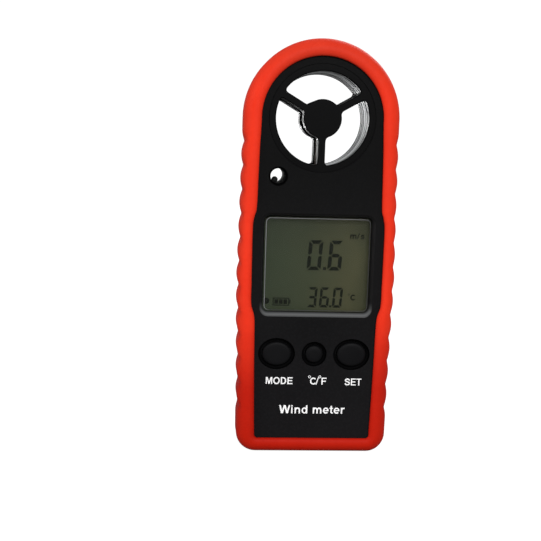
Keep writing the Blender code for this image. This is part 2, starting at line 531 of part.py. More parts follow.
# ---------------------------------------------------------------- battery
cell = turned("coin_cell", ((0.0, CELL_Y0), (9.2, CELL_Y0), (CELL_R - 0.4, CELL_Y0 + 0.3), (CELL_R, CELL_Y0 + 1.0), (CELL_R, CELL_Y1 - 0.3), (CELL_R - 0.3, CELL_Y1), (0.0, CELL_Y1)),
              0, DOOR_Z, 28, STEEL)
smooth(cell)


def strip(name, path, z0, z1, t, mat):
    """A springy strip of thickness t that follows (x, y) points, between two heights."""
    points = [Vector(p) for p in path]
    sides = []
    for i, p in enumerate(points):
        d = (points[min(i + 1, len(points) - 1)] - points[max(i - 1, 0)]).normalized()
        nrm = Vector((-d.y, d.x)) * t / 2
        sides.append((p + nrm, p - nrm))
    ring = [s[0] for s in sides] + [s[1] for s in reversed(sides)]
    bm = bmesh.new()
    verts = [bm.verts.new((v.x * MM, v.y * MM, z0 * MM)) for v in ring]
    face = bm.faces.new(verts)
    out = bmesh.ops.extrude_face_region(bm, geom=[face])
    bmesh.ops.translate(bm, verts=[g for g in out["geom"] if isinstance(g, bmesh.types.BMVert)], vec=(0, 0, (z1 - z0) * MM))
    bmesh.ops.triangulate(bm, faces=[f for f in bm.faces if len(f.verts) > 4])
    return finish(bm, name, mat, False)


strip("battery_contact_negative", ((-6.5, 0.85), (-4.5, 0.9), (-2.2, 1.35), (0.0, 1.6), (2.2, 1.35), (4.5, 0.9), (6.5, 0.85)), DOOR_Z - 2.5, DOOR_Z + 2.5, 0.22, STEEL)
strip("battery_contact_positive", ((13.6, 0.85), (11.4, 0.85), (10.75, 1.3), (10.6, 2.2), (10.55, 3.3)), DOOR_Z - 1.8, DOOR_Z + 1.8, 0.22, STEEL)

ring_mesh = [(11.25 + 0.35 * math.cos(2 * math.pi * k / 6), 4.95 + 0.35 * math.sin(2 * math.pi * k / 6)) for k in range(6)]
seal = turned("battery_door_seal", ring_mesh, 0, DOOR_Z, 28, SEAL)
smooth(seal, 60)

door = turned("battery_door", ((0.0, 5.6), (DOOR_R, 5.6), (DOOR_R, 6.8), (DOOR_R - 0.3, 7.1), (0.0, 7.1)), 0, DOOR_Z, 36, BLACK)
add(door, joined("door_lugs", [plate(f"door_lug_{k}", sector(0, DOOR_Z, DOOR_R - 0.6, LUG_R, 90 + 120 * k, 90 + 120 * k + LUG_DEG, 3), 5.7, 6.25, cutter=True)
                               for k in range(3)]))
cut(door, plate("coin_slot", round_rect(-7.0, 7.0, DOOR_Z - 0.95, DOOR_Z + 0.95, 0.9, 3), 6.4, 9.0, cutter=True))
smooth(door)
put_origin(door, 0, 6.5, DOOR_Z)

# ---------------------------------------------------------------- case screws
for i, (x, z) in enumerate(BOSSES):
    screw = turned(f"case_screw_{i + 1}", ((0.0, -4.7), (0.55, -4.7), (0.8, -3.9), (0.8, 5.5), (1.9, 5.5), (1.9, 6.1), (1.4, 6.75), (0.0, 6.85)), x, z, 12, STEEL)
    cross = [box(f"driver_slot_a_{i}", x - 1.0, x + 1.0, 6.15, 8.0, z - 0.22, z + 0.22, cutter=True),
             box(f"driver_slot_b_{i}", x - 0.22, x + 0.22, 6.1, 8.1, z - 1.0, z + 1.0, cutter=True)]
    for c in cross:
        cut(screw, c)
    smooth(screw)

for o in (impeller, shaft, magnet):
    put_origin(o, 0, 0, HEAD_Z)
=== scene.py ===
import math

import bmesh
import bpy
import numpy as np
from mathutils import Matrix, Vector


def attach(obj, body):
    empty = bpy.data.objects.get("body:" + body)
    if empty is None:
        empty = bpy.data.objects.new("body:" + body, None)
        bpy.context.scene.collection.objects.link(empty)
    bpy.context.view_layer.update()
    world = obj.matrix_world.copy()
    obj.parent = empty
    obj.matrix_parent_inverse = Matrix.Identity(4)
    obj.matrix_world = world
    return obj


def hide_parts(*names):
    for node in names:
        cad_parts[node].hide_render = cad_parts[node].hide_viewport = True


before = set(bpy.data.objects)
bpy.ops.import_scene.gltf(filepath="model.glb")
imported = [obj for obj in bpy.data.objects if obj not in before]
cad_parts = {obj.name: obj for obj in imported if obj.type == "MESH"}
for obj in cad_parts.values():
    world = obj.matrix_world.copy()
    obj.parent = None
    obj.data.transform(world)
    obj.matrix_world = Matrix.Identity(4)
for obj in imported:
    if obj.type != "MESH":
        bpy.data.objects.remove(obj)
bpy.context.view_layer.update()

MM = 1.0                 # pieces are modelled in millimetres; settle() scales them to metres

# ------------------------------------------------------------------ dimensions, mm (as in the CAD source)
LENGTH, THICK, HEAD_Z = 105.0, 17.0, 85.45
HEAD_R = LENGTH - HEAD_Z
CORNER_R = 5.0
HALF_WIDTH = ((0, 19.50), (8, 19.58), (16, 19.68), (26, 19.86), (36, 20.07), (46, 20.18),
              (57, 19.96), (70, 19.76), (85.45, HEAD_R))
BOOT_WALL, GAP = 1.8, 0.3
CASE_INSET, CASE_WALL = BOOT_WALL + GAP, 1.5
FACE_Y, FACE_WALL = 7.2, 1.6
LIP_Y = FACE_Y + GAP
NOTCH_FIRST, NOTCH_PITCH, NOTCH_COUNT, NOTCH_DEPTH = 12.35, 6.11, 12, 0.60
OPEN_TOP_Z, OPEN_TOP_R, OPEN_BOTTOM, REAR_BOTTOM = 85.45, 15.0, 4.25, 6.2
OPEN_FRONT = ((5.2, 14.80), (10, 14.92), (16, 15.08), (24, 15.26), (34.4, 15.44), (36.4, 15.66), (38.8, 16.36),
              (44, 16.46), (52, 16.50), (59.2, 16.46), (61.2, 16.10), (62.9, 15.66), (70, 15.46), (78, 15.26), (85.45, 15.0))
OPEN_REAR = ((8.2, 14.7), (30, 15.1), (60, 15.3), (78, 15.15), (85.45, 15.0))
DUCT_R, GUARD_R, FLANGE_R, HUB_R, SPOKE_W = 11.5, 13.18, 14.1, 4.75, 1.8
GUARD_Y = 7.12
SPOKES_DEG = (30.0, 150.0, 270.0)
VENT_X, VENT_Z, VENT_R, VENT_WALL = -10.5, 71.1, 1.9, 1.0
WIN_X, WIN_Z0, WIN_Z1 = 13.5, 37.0, 61.15
KEYS = (("mode", -9.6, 26.2, 3.70, 3.05), ("unit", 0.0, 26.2, 2.2, 2.2), ("set", 9.6, 26.2, 3.70, 3.05))
DOOR_Z, DOOR_R, SEAT_R, LUG_R, LUG_DEG, DOOR_TURN = 22.0, 11.7, 12.0, 12.9, 20.0, 50.0
BOSSES = ((-12.2, 10.5), (12.2, 10.5), (-12.8, 65.3), (12.8, 65.3))

# ------------------------------------------------------------------ material tools
class Nodes:
    """A small writer of node trees."""

    def __init__(self, name):
        self.mat = bpy.data.materials.new(name)
        self.mat.use_nodes = True
        self.tree = self.mat.node_tree
        self.tree.nodes.clear()
        self.out = self.tree.nodes.new("ShaderNodeOutputMaterial")

    def new(self, kind, **settings):
        n = self.tree.nodes.new(kind)
        inputs = settings.pop("inputs", {})
        for k, v in settings.items():
            setattr(n, k, v)
        for k, v in inputs.items():
            self.set(n, k, v)
        return n

    def set(self, n, key, value):
        socket = n.inputs[key]
        if isinstance(value, bpy.types.NodeSocket):
            self.tree.links.new(value, socket)
        else:
            socket.default_value = value

    def coords(self):
        return self.new("ShaderNodeTexCoord").outputs["Object"]

    def noise(self, scale, detail=3.0, rough=0.5, vector=None, distortion=0.0):
        n = self.new("ShaderNodeTexNoise", inputs={"Scale": scale, "Detail": detail, "Roughness": rough, "Distortion": distortion})
        self.tree.links.new(vector or self.coords(), n.inputs["Vector"])
        return n.outputs["Fac"]

    def voronoi(self, scale, feature="F1", vector=None):
        n = self.new("ShaderNodeTexVoronoi", feature=feature, inputs={"Scale": scale})
        self.tree.links.new(vector or self.coords(), n.inputs["Vector"])
        return n.outputs["Distance"]

    def ramp(self, fac, stops):
        n = self.new("ShaderNodeValToRGB")
        self.tree.links.new(fac, n.inputs["Fac"])
        els = n.color_ramp.elements
        while len(els) < len(stops):
            els.new(0.5)
        for e, (p, c) in zip(els, stops):
            e.position = p
            e.color = (*c, 1.0) if len(c) == 3 else c
        return n.outputs["Color"]

    def mapped(self, fac, lo, hi, a=0.0, b=1.0):
        n = self.new("ShaderNodeMapRange", inputs={"From Min": a, "From Max": b, "To Min": lo, "To Max": hi})
        self.tree.links.new(fac, n.inputs["Value"])
        return n.outputs["Result"]

    def math(self, op, a, b=None, c=None):
        n = self.new("ShaderNodeMath", operation=op)
        for i, v in enumerate((a, b, c)):
            if v is not None:
                self.set(n, i, v)
        return n.outputs[0]

    def mix(self, fac, a, b, kind="MIX"):
        n = self.new("ShaderNodeMix", data_type="RGBA", blend_type=kind)
        for key, v in ((0, fac), (6, a), (7, b)):
            if isinstance(v, tuple) and len(v) == 3:
                v = (*v, 1.0)
            self.set(n, key, v)
        return n.outputs[2]

    def attribute(self, name):
        return self.new("ShaderNodeAttribute", attribute_name=name).outputs["Fac"]

    def bump(self, height, strength, distance, normal=None):
        n = self.new("ShaderNodeBump", inputs={"Strength": strength, "Distance": distance})
        self.tree.links.new(height, n.inputs["Height"])
        if normal is not None:
            self.tree.links.new(normal, n.inputs["Normal"])
        return n.outputs["Normal"]

    def principled(self, color, rough, metallic=0.0, normal=None, **more):
        n = self.new("ShaderNodeBsdfPrincipled")
        self.set(n, "Base Color", (*color, 1.0) if isinstance(color, tuple) else color)
        self.set(n, "Roughness", rough)
        self.set(n, "Metallic", metallic)
        if normal is not None:
            self.set(n, "Normal", normal)
        for k, v in more.items():
            self.set(n, k.replace("_", " "), v)
        self.tree.links.new(n.outputs[0], self.out.inputs["Surface"])
        return n


def rubber_red():
    m = Nodes("boot_red_rubber")
    patch = m.noise(55.0, 4.0, 0.55)
    fine = m.noise(900.0, 3.0, 0.6)
    grain = m.voronoi(3800.0)
    base = m.ramp(patch, [(0.30, (0.88, 0.036, 0.0125)), (0.52, (0.93, 0.040, 0.0140)), (0.75, (0.97, 0.046, 0.0160))])
    base = m.mix(m.mapped(fine, 0.0, 0.22, 0.35, 0.75), base, (0.76, 0.026, 0.010))
    worn = m.attribute("worn")
    base = m.mix(m.math("MULTIPLY", worn, m.mapped(m.noise(260.0, 4.0, 0.65), 0.0, 0.4, 0.35, 0.75)), base, (0.98, 0.066, 0.030))
    # painted shade: the red darkens in the scallops' valleys and under the lip by the opening
    base = m.mix(m.math("MULTIPLY", m.attribute("painted_recess_shade"), 0.55), base, (0.50, 0.012, 0.006))
    # painted shade: the red darkens towards the base, standing in for the light falling off down the boot
    sep = m.new("ShaderNodeSeparateXYZ")
    m.tree.links.new(m.coords(), sep.inputs[0])
    painted_shade_height = m.math("ADD", sep.outputs["Z"], m.mapped(patch, -0.0015, 0.0015, 0.3, 0.7))
    base = m.mix(1.0, base, m.ramp(m.mapped(painted_shade_height, 0.0, 1.0, 0.0, 0.036), [(0.0, (0.59, 0.34, 0.28)), (0.50, (0.63, 0.37, 0.36)), (0.96, (1.0, 1.0, 1.0))]), "MULTIPLY")
    # painted shade at the crown: its lit top is toned down
    base = m.mix(1.0, base, m.ramp(m.mapped(painted_shade_height, 0.0, 1.0, 0.090, 0.106), [(0.1, (1.0, 1.0, 1.0)), (0.75, (0.80, 0.98, 1.1))]), "MULTIPLY")
    rough = m.math("ADD", m.mapped(fine, 0.44, 0.60), m.math("MULTIPLY", worn, -0.06))
    n1 = m.bump(patch, 0.25, 0.0004)
    n2 = m.bump(grain, 0.35, 0.00003, n1)
    m.principled(base, rough, 0.0, n2, Specular_IOR_Level=0.06)
    return m.mat


def plastic_black(name, base=(0.0040, 0.0040, 0.0042), grain=2600.0, depth=0.00002, rough=(0.50, 0.62), spec=0.06, painted_highlight_z=None):
    m = Nodes(name)
    patch = m.noise(40.0, 3.0, 0.5)
    fine = m.noise(grain, 2.0, 0.55)
    pits = m.voronoi(grain * 0.6)
    color = m.mix(m.mapped(patch, 0.0, 1.0, 0.3, 0.7), tuple(c * 0.82 for c in base), tuple(c * 1.18 for c in base))
    color = m.mix(m.mapped(pits, 0.35, 0.0, 0.0, 0.6), color, tuple(c * 1.9 for c in base))
    sep = m.new("ShaderNodeSeparateXYZ")
    m.tree.links.new(m.coords(), sep.inputs[0])
    # painted highlight: faces below the given height turn light grey, brightest at the bevel's middle depth
    if painted_highlight_z:
        color = m.mix(m.mapped(m.math("ADD", sep.outputs["Z"], m.mapped(patch, -0.0004, 0.0004)), 1.0, 0.0, *painted_highlight_z), color, (0.128, 0.132, 0.135))
        deep = m.math("ABSOLUTE", m.math("ADD", sep.outputs["Y"], FACE_Y * 0.001 - 0.00045), 0.0)
        color = m.mix(1.0, color, m.ramp(m.mapped(deep, 0.0, 1.0, 0.0, 0.00045), [(0.15, (1.0, 1.0, 1.0)), (0.95, (0.42, 0.42, 0.42))]), "MULTIPLY")
    else:
        # painted light and shade: the black is lighter low down and darker towards the top
        color = m.mix(1.0, color, m.ramp(m.mapped(sep.outputs["Z"], 0.0, 1.0, 0.0, 0.1), [(0.1, (2.1, 2.0, 2.1)), (0.6, (1.35, 1.35, 1.35)), (0.75, (0.75, 0.75, 0.76))]), "MULTIPLY")
    r = m.mapped(m.math("ADD", m.math("MULTIPLY", patch, 0.6), m.math("MULTIPLY", fine, 0.4)), rough[0], rough[1], 0.3, 0.7)
    normal = m.bump(pits, 0.5, depth, m.bump(fine, 0.35, depth))
    m.principled(color, r, 0.0, normal, Specular_IOR_Level=spec)
    return m.mat


def key_rubber():
    m = Nodes("key_black_rubber")
    fine = m.noise(1700.0, 3.0, 0.6)
    patch = m.noise(150.0, 2.0, 0.5)
    color = m.ramp(patch, [(0.3, (0.0042, 0.0042, 0.0048)), (0.7, (0.0056, 0.0056, 0.0064))])
    m.principled(color, m.mapped(patch, 0.46, 0.6, 0.3, 0.7), 0.0, m.bump(fine, 0.3, 0.00002), Specular_IOR_Level=0.08)
    return m.mat


def liner_plastic():
    m = Nodes("liner_silver_grey")
    sep = m.new("ShaderNodeSeparateXYZ")
    m.tree.links.new(m.coords(), sep.inputs[0])
    lines = m.new("ShaderNodeTexNoise", noise_dimensions="1D", inputs={"Scale": 6000.0, "Detail": 2.0})
    m.tree.links.new(sep.outputs["Y"], lines.inputs["W"])
    patch = m.noise(90.0, 3.0)
    color = m.ramp(patch, [(0.3, (0.80, 0.82, 0.83)), (0.7, (0.92, 0.94, 0.95))])
    color = m.mix(m.mapped(lines.outputs["Fac"], 0.0, 0.14, 0.4, 0.7), color, (0.10, 0.105, 0.11))
    # painted shade: the grooves' faces are darkened
    color = m.mix(m.attribute("groove"), color, (0.06, 0.062, 0.065))
    for g, w, k in ((0.0058, 0.0008, 0.95), (0.0027, 0.0008, 0.92), (-0.0002, 0.00025, 0.5)):     # painted shade: dark bands round the bore at its steps
        ring = m.mapped(m.math("ABSOLUTE", m.math("ADD", sep.outputs["Y"], -g), 0.0), k, 0.0, w * 0.5, w * 1.3)
        color = m.mix(ring, color, (0.10, 0.104, 0.106))
    # painted shadow of the guard: darker towards the front end
    color = m.mix(m.mapped(sep.outputs["Y"], 0.92, 0.0, -0.0054, -0.0012), color, (0.10, 0.104, 0.106))
    m.principled(color, m.mapped(patch, 0.50, 0.62), 0.0, m.bump(patch, 0.1, 0.00003), Specular_IOR_Level=0.10)
    return m.mat


def window_clear():
    m = Nodes("window_clear_plastic")
    smear = m.noise(70.0, 4.0, 0.6, distortion=0.6)
    fresnel = m.new("ShaderNodeFresnel", inputs={"IOR": 1.47})
    gloss = m.new("ShaderNodeBsdfGlossy", inputs={"Color": (0.95, 0.97, 0.96, 1.0), "Roughness": m.mapped(smear, 0.04, 0.16, 0.35, 0.7)})
    clear = m.new("ShaderNodeBsdfTransparent", inputs={"Color": m.mix(smear, (0.93, 0.95, 0.93), (0.97, 0.98, 0.965))})
    mix = m.new("ShaderNodeMixShader")
    m.tree.links.new(m.math("MULTIPLY", fresnel.outputs[0], 0.2), mix.inputs[0])
    m.tree.links.new(clear.outputs[0], mix.inputs[1])
    m.tree.links.new(gloss.outputs[0], mix.inputs[2])
    m.tree.links.new(mix.outputs[0], m.out.inputs["Surface"])
    return m.mat


def blade_clear():
    m = Nodes("impeller_clear_plastic")
    smear = m.noise(300.0, 3.0, 0.6)
    m.principled(m.ramp(smear, [(0.3, (0.86, 0.90, 0.92)), (0.7, (0.93, 0.95, 0.96))]), m.mapped(smear, 0.08, 0.2), 0.0,
                 m.bump(smear, 0.1, 0.00005), Alpha=0.015, Specular_IOR_Level=0.15)
    return m.mat


def lcd_ground():
    m = Nodes("lcd_ground")
    sep = m.new("ShaderNodeSeparateXYZ")
    m.tree.links.new(m.coords(), sep.inputs[0])
    side = m.mapped(sep.outputs["X"], 0.0, 1.0, -0.0135, 0.0135)
    height_for_top_shadow = m.mapped(sep.outputs["Z"], 0.0, 1.0, 0.0375, 0.0612)
    # painted shadow: the tone changes across the display and darkens at its right edge, under the window frame
    tone_across_and_edge_shadow = m.math("ADD", side, m.mapped(m.noise(85.0, 2.0, 0.5), -0.22, 0.22))
    color = m.ramp(tone_across_and_edge_shadow, [(0.05, (0.046, 0.058, 0.034)), (0.45, (0.053, 0.060, 0.033)), (0.80, (0.082, 0.077, 0.040)), (1.0, (0.054, 0.054, 0.028))])
    # painted shadow towards the top, under the window's upper edge
    color = m.mix(m.mapped(height_for_top_shadow, 0.0, 0.5, 0.55, 1.0), color, (0.028, 0.031, 0.018))
    speck = m.voronoi(5200.0)
    color = m.mix(m.mapped(speck, 0.10, 0.0, 0.0, 0.5), color, (0.11, 0.12, 0.09))
    m.principled(color, m.mapped(m.noise(1200.0), 0.42, 0.55), 0.0, m.bump(speck, 0.15, 0.00001), Specular_IOR_Level=0.15)
    return m.mat


def lcd_ink():
    m = Nodes("lcd_ink")
    n = m.noise(2200.0, 2.0)
    m.principled(m.ramp(n, [(0.3, (0.0050, 0.0065, 0.0035)), (0.7, (0.0080, 0.0095, 0.0055))]), m.mapped(n, 0.4, 0.55), 0.0, Specular_IOR_Level=0.1)
    return m.mat


def ink_white():
    m = Nodes("label_ink_white_painted_glow")
    n = m.noise(2600.0, 3.0, 0.6)
    # painted glow: the white print emits a faint light of its own
    m.principled(m.ramp(n, [(0.25, (0.86, 0.86, 0.86)), (0.6, (0.98, 0.98, 0.98))]), m.mapped(n, 0.45, 0.65), 0.0, m.bump(n, 0.2, 0.00001), Emission_Color=(1.0, 1.0, 1.0, 1.0), Emission_Strength=0.20)
    return m.mat


def metal(name, color, rough=(0.22, 0.38), scratch=900.0):
    m = Nodes(name)
    squash = m.new("ShaderNodeMapping", inputs={"Scale": (1.0, 1.0, 14.0)})
    m.tree.links.new(m.coords(), squash.inputs["Vector"])
    lines = m.noise(scratch, 3.0, 0.6, squash.outputs[0])
    patch = m.noise(160.0, 3.0)
    c = m.mix(m.mapped(patch, 0.0, 1.0, 0.3, 0.7), tuple(x * 0.85 for x in color), tuple(min(1.0, x * 1.1) for x in color))
    m.principled(c, m.mapped(lines, rough[0], rough[1], 0.3, 0.7), 1.0, m.bump(lines, 0.15, 0.00001))
    return m.mat


def board_green():
    m = Nodes("board_solder_mask")
    brick = m.new("ShaderNodeTexBrick", inputs={"Scale": 420.0, "Mortar Size": 0.012, "Color1": (0.010, 0.10, 0.035, 1), "Color2": (0.014, 0.13, 0.045, 1), "Mortar": (0.05, 0.24, 0.09, 1)})
    turn = m.new("ShaderNodeMapping", inputs={"Rotation": (math.pi / 2, 0, 0)})
    m.tree.links.new(m.coords(), turn.inputs["Vector"])
    m.tree.links.new(turn.outputs[0], brick.inputs["Vector"])
    m.principled(brick.outputs["Color"], m.mapped(m.noise(500.0), 0.3, 0.5), 0.0, m.bump(brick.outputs["Fac"], 0.2, 0.00003))
    return m.mat


def plain(name, a, b, rough, scale=900.0, metallic=0.0, spec=0.4, depth=0.00001):
    """Moulded plastic or rubber with a fine mottling between two colours."""
    m = Nodes(name)
    n = m.noise(scale, 3.0, 0.55)
    m.principled(m.ramp(n, [(0.3, a), (0.7, b)]), m.mapped(n, rough[0], rough[1], 0.3, 0.7), metallic, m.bump(n, 0.3, depth), Specular_IOR_Level=spec)
    return m.mat


RED = rubber_red()
BLACK = plastic_black("case_black_plastic")
GUARD = plastic_black("guard_black_plastic", (0.0030, 0.0030, 0.0032), 3400.0, 0.00001, (0.44, 0.56), 0.05)
# the window bevel's bright lower band is a painted highlight; this black is also glossier
BEVEL = plastic_black("polished_black_plastic_painted_highlight", (0.0100, 0.0100, 0.0106), 3400.0, 0.000004, (0.30, 0.42), 0.20, (0.0364, 0.0396))
# painted shade: a near-black copy of the case plastic for the key moats and round the vent
PAINTED_SHADE_BLACK = plastic_black("recess_black_painted_shade", (0.0011, 0.0011, 0.0012), 2600.0, 0.00001, (0.60, 0.75), 0.02)
KEYCAP = key_rubber()
LINER = liner_plastic()
CLEAR = window_clear()
BLADE = blade_clear()
LCD = lcd_ground()
INK = lcd_ink()
LABEL = ink_white()
STEEL = metal("steel_nickel", (0.62, 0.62, 0.64))
BRASS = metal("brass_turned", (0.76, 0.55, 0.24))
BOARD = board_green()
CHIP = plain("chip_epoxy", (0.012, 0.012, 0.013), (0.022, 0.022, 0.024), (0.4, 0.6), 1800.0)
WHITE = plain("milky_plastic", (0.72, 0.72, 0.70), (0.82, 0.82, 0.80), (0.35, 0.5), 300.0)
SEAL = plain("soft_black_rubber", (0.012, 0.012, 0.012), (0.024, 0.024, 0.024), (0.55, 0.75), 1400.0)
RIBBON = plain("ribbon_dark_film", (0.030, 0.014, 0.006), (0.045, 0.022, 0.008), (0.3, 0.45), 700.0)
MAGNET = plain("magnet_dark", (0.09, 0.09, 0.10), (0.15, 0.15, 0.16), (0.25, 0.4), 800.0, 0.6)


# ------------------------------------------------------------------ mesh tools (mm in, metres out)
def make(bm, name, mat=None, merge=5e-4):
    if merge:
        bmesh.ops.remove_doubles(bm, verts=bm.verts, dist=merge)
    bmesh.ops.recalc_face_normals(bm, faces=bm.faces)
    mesh = bpy.data.meshes.new(name)
    bm.to_mesh(mesh)
    bm.free()
    obj = bpy.data.objects.new(name, mesh)
    bpy.context.scene.collection.objects.link(obj)
    if mat:
        mesh.materials.append(mat)
    return obj


def baked(obj):
    """Applies the object's modifiers."""
    bpy.context.view_layer.update()
    graph = bpy.context.evaluated_depsgraph_get()
    mesh = bpy.data.meshes.new_from_object(obj.evaluated_get(graph))
    old = obj.data
    obj.modifiers.clear()
    obj.data = mesh
    bpy.data.meshes.remove(old)
    return obj


def combine(obj, others, operation):
    for other in others:
        m = obj.modifiers.new("b", "BOOLEAN")
        m.operation = operation
        m.solver = "EXACT"
        m.object = other
        baked(obj)
        bpy.data.objects.remove(other, do_unlink=True)
    bm = bmesh.new()
    bm.from_mesh(obj.data)
    bmesh.ops.remove_doubles(bm, verts=bm.verts, dist=1e-4)
    bmesh.ops.dissolve_degenerate(bm, dist=1e-4, edges=bm.edges)
    bm.to_mesh(obj.data)
    bm.free()
    return obj


def joined(*objects):
    """Cutters that stand apart, as one cutter."""
    bm = bmesh.new()
    for o in objects:
        bm.from_mesh(o.data)
        bpy.data.objects.remove(o, do_unlink=True)
    return make(bm, "joined", merge=0)


def cut(obj, *others):
    return combine(obj, others, "DIFFERENCE")


def add(obj, *others):
    return combine(obj, others, "UNION")


def rings(name, levels, mat=None, closed=False):
    """A solid through outlines of equal point count: levels is a list of (outline, y)."""
    bm = bmesh.new()
    rows = [[bm.verts.new((x * MM, y * MM, z * MM)) for x, z in outline] for outline, y in levels]
    n = len(rows[0])
    for a, b in zip(rows, rows[1:] + ([rows[0]] if closed else [])):
        for i in range(n):
            bm.faces.new((a[i], a[(i + 1) % n], b[(i + 1) % n], b[i]))
    if not closed:
        bm.faces.new(rows[0])
        bm.faces.new(list(reversed(rows[-1])))
    return make(bm, name, mat)


def plate(name, outline, y0, y1, mat=None):
    return rings(name, [(outline, y0), (outline, y1)], mat)


def turned(name, profile, x=0.0, z=0.0, steps=96, mat=None):
    """A closed (radius, y) profile turned about an axis along Y."""
    bm = bmesh.new()
    rows = []
    for k in range(steps):
        t = 2 * math.pi * k / steps
        rows.append([bm.verts.new(((x + r * math.cos(t)) * MM, y * MM, (z + r * math.sin(t)) * MM)) for r, y in profile])
    n = len(profile)
    for k in range(steps):
        a, b = rows[k], rows[(k + 1) % steps]
        for i in range(n):
            j = (i + 1) % n
            if profile[i][0] == 0 and profile[j][0] == 0:
                continue
            bm.faces.new((a[i], a[j], b[j], b[i]))
    bmesh.ops.remove_doubles(bm, verts=bm.verts, dist=1e-5)
    bmesh.ops.dissolve_degenerate(bm, dist=1e-6, edges=bm.edges)
    return make(bm, name, mat)


def box(name, x0, x1, y0, y1, z0, z1, mat=None, turn_deg=0.0, about=(0.0, 0.0)):
    bm = bmesh.new()
    bmesh.ops.create_cube(bm, size=1.0)
    size = Matrix.Diagonal(((x1 - x0) * MM, (y1 - y0) * MM, (z1 - z0) * MM, 1.0))
    place = Matrix.Translation(((x0 + x1) / 2 * MM, (y0 + y1) / 2 * MM, (z0 + z1) / 2 * MM))
    pivot = Matrix.Translation((about[0] * MM, 0, about[1] * MM))
    spin = Matrix.Rotation(math.radians(-turn_deg), 4, "Y")
    bmesh.ops.transform(bm, matrix=pivot @ spin @ pivot.inverted() @ place @ size, verts=bm.verts)
    return make(bm, name, mat)


def shade(obj, degrees=32, weighted=True):
    obj.data.shade_smooth()
    obj.data.set_sharp_from_angle(angle=math.radians(degrees))
    if weighted:
        m = obj.modifiers.new("normals", "WEIGHTED_NORMAL")
        m.mode = "FACE_AREA"
        m.weight = 90
        m.keep_sharp = True
    return obj


def settle(obj, body, nodes=(), degrees=None, weighted=True):
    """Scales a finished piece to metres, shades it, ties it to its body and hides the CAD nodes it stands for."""
    obj.data.transform(Matrix.Scale(0.001, 4))
    if degrees:
        shade(obj, degrees, weighted)
    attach(obj, body)
    if nodes:
        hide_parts(*([nodes] if isinstance(nodes, str) else nodes))
    return obj


def arc_points(cx, cz, r, a0, a1, steps):
    return [(cx + r * math.cos(math.radians(a0 + (a1 - a0) * k / steps)), cz + r * math.sin(math.radians(a0 + (a1 - a0) * k / steps)))
            for k in range(steps + 1)]


def oval(x, z, rx, rz, sides=72):
    return [(x + rx * math.cos(2 * math.pi * k / sides), z + rz * math.sin(2 * math.pi * k / sides)) for k in range(sides)]


def round_rect(x0, x1, z0, z1, r, steps=10):
    out = []
    for cx, cz, start in ((x1 - r, z0 + r, -90), (x1 - r, z1 - r, 0), (x0 + r, z1 - r, 90), (x0 + r, z0 + r, 180)):
        out += arc_points(cx, cz, r, start, start + 90, steps)
    return out


def offset(points, d):
    """Moves each point of an anticlockwise outline outwards by d."""
    p = np.array(points)
    tangent = np.roll(p, -1, 0) - np.roll(p, 1, 0)
    tangent /= np.linalg.norm(tangent, axis=1)[:, None]
    normal = np.stack([tangent[:, 1], -tangent[:, 0]], 1)
    return [tuple(q) for q in p + normal * d]


def resample(points, spacing):
    """The same closed outline with evenly spaced points."""
    p = np.array(points + points[:1])
    run = np.concatenate([[0], np.cumsum(np.linalg.norm(np.diff(p, axis=0), axis=1))])
    n = max(int(round(run[-1] / spacing)), 8)
    at = np.arange(n) * run[-1] / n
    return list(zip(np.interp(at, run, p[:, 0]).tolist(), np.interp(at, run, p[:, 1]).tolist()))


def joint_fillet(edges, size, steps=7):
    """Joins open polylines end to end into a loop, easing each corner over a length of size."""
    def walk(points, length, from_end):
        pts = list(reversed(points)) if from_end else list(points)
        left = length
        while len(pts) > 2:
            step = math.dist(pts[0], pts[1])
            if step >= left:
                t = left / step
                pts[0] = (pts[0][0] + (pts[1][0] - pts[0][0]) * t, pts[0][1] + (pts[1][1] - pts[0][1]) * t)
                break
            left -= step
            pts.pop(0)
        else:
            step = math.dist(pts[0], pts[1])
            t = left / step
            pts[0] = (pts[0][0] + (pts[1][0] - pts[0][0]) * t, pts[0][1] + (pts[1][1] - pts[0][1]) * t)
        return list(reversed(pts)) if from_end else pts

    corners = [e[-1] for e in edges]
    cut_back = [walk(walk(e, size, False), size, True) for e in edges]
    out = []
    for k, e in enumerate(cut_back):
        out += e
        a, c, b = e[-1], corners[k], cut_back[(k + 1) % len(edges)][0]
        for i in range(1, steps):
            t = i / steps
            out.append(tuple((1 - t) ** 2 * a[j] + 2 * t * (1 - t) * c[j] + t * t * b[j] for j in (0, 1)))
    return out


# ------------------------------------------------------------------ outlines
def table_value(table, z):
    """Cubic through a table of (z, value), with slopes from the neighbours."""
    zs = [t[0] for t in table]
    vs = [t[1] for t in table]
    if z <= zs[0]:
        return vs[0]
    if z >= zs[-1]:
        return vs[-1]
    i = int(np.searchsorted(zs, z) - 1)
    slope = [0.0] * len(zs)
    for k in range(1, len(zs) - 1):
        slope[k] = (vs[k + 1] - vs[k - 1]) / (zs[k + 1] - zs[k - 1])
    h = zs[i + 1] - zs[i]
    t = (z - zs[i]) / h
    return ((2 * t**3 - 3 * t**2 + 1) * vs[i] + (t**3 - 2 * t**2 + t) * h * slope[i]
            + (-2 * t**3 + 3 * t**2) * vs[i + 1] + (t**3 - t**2) * h * slope[i + 1])


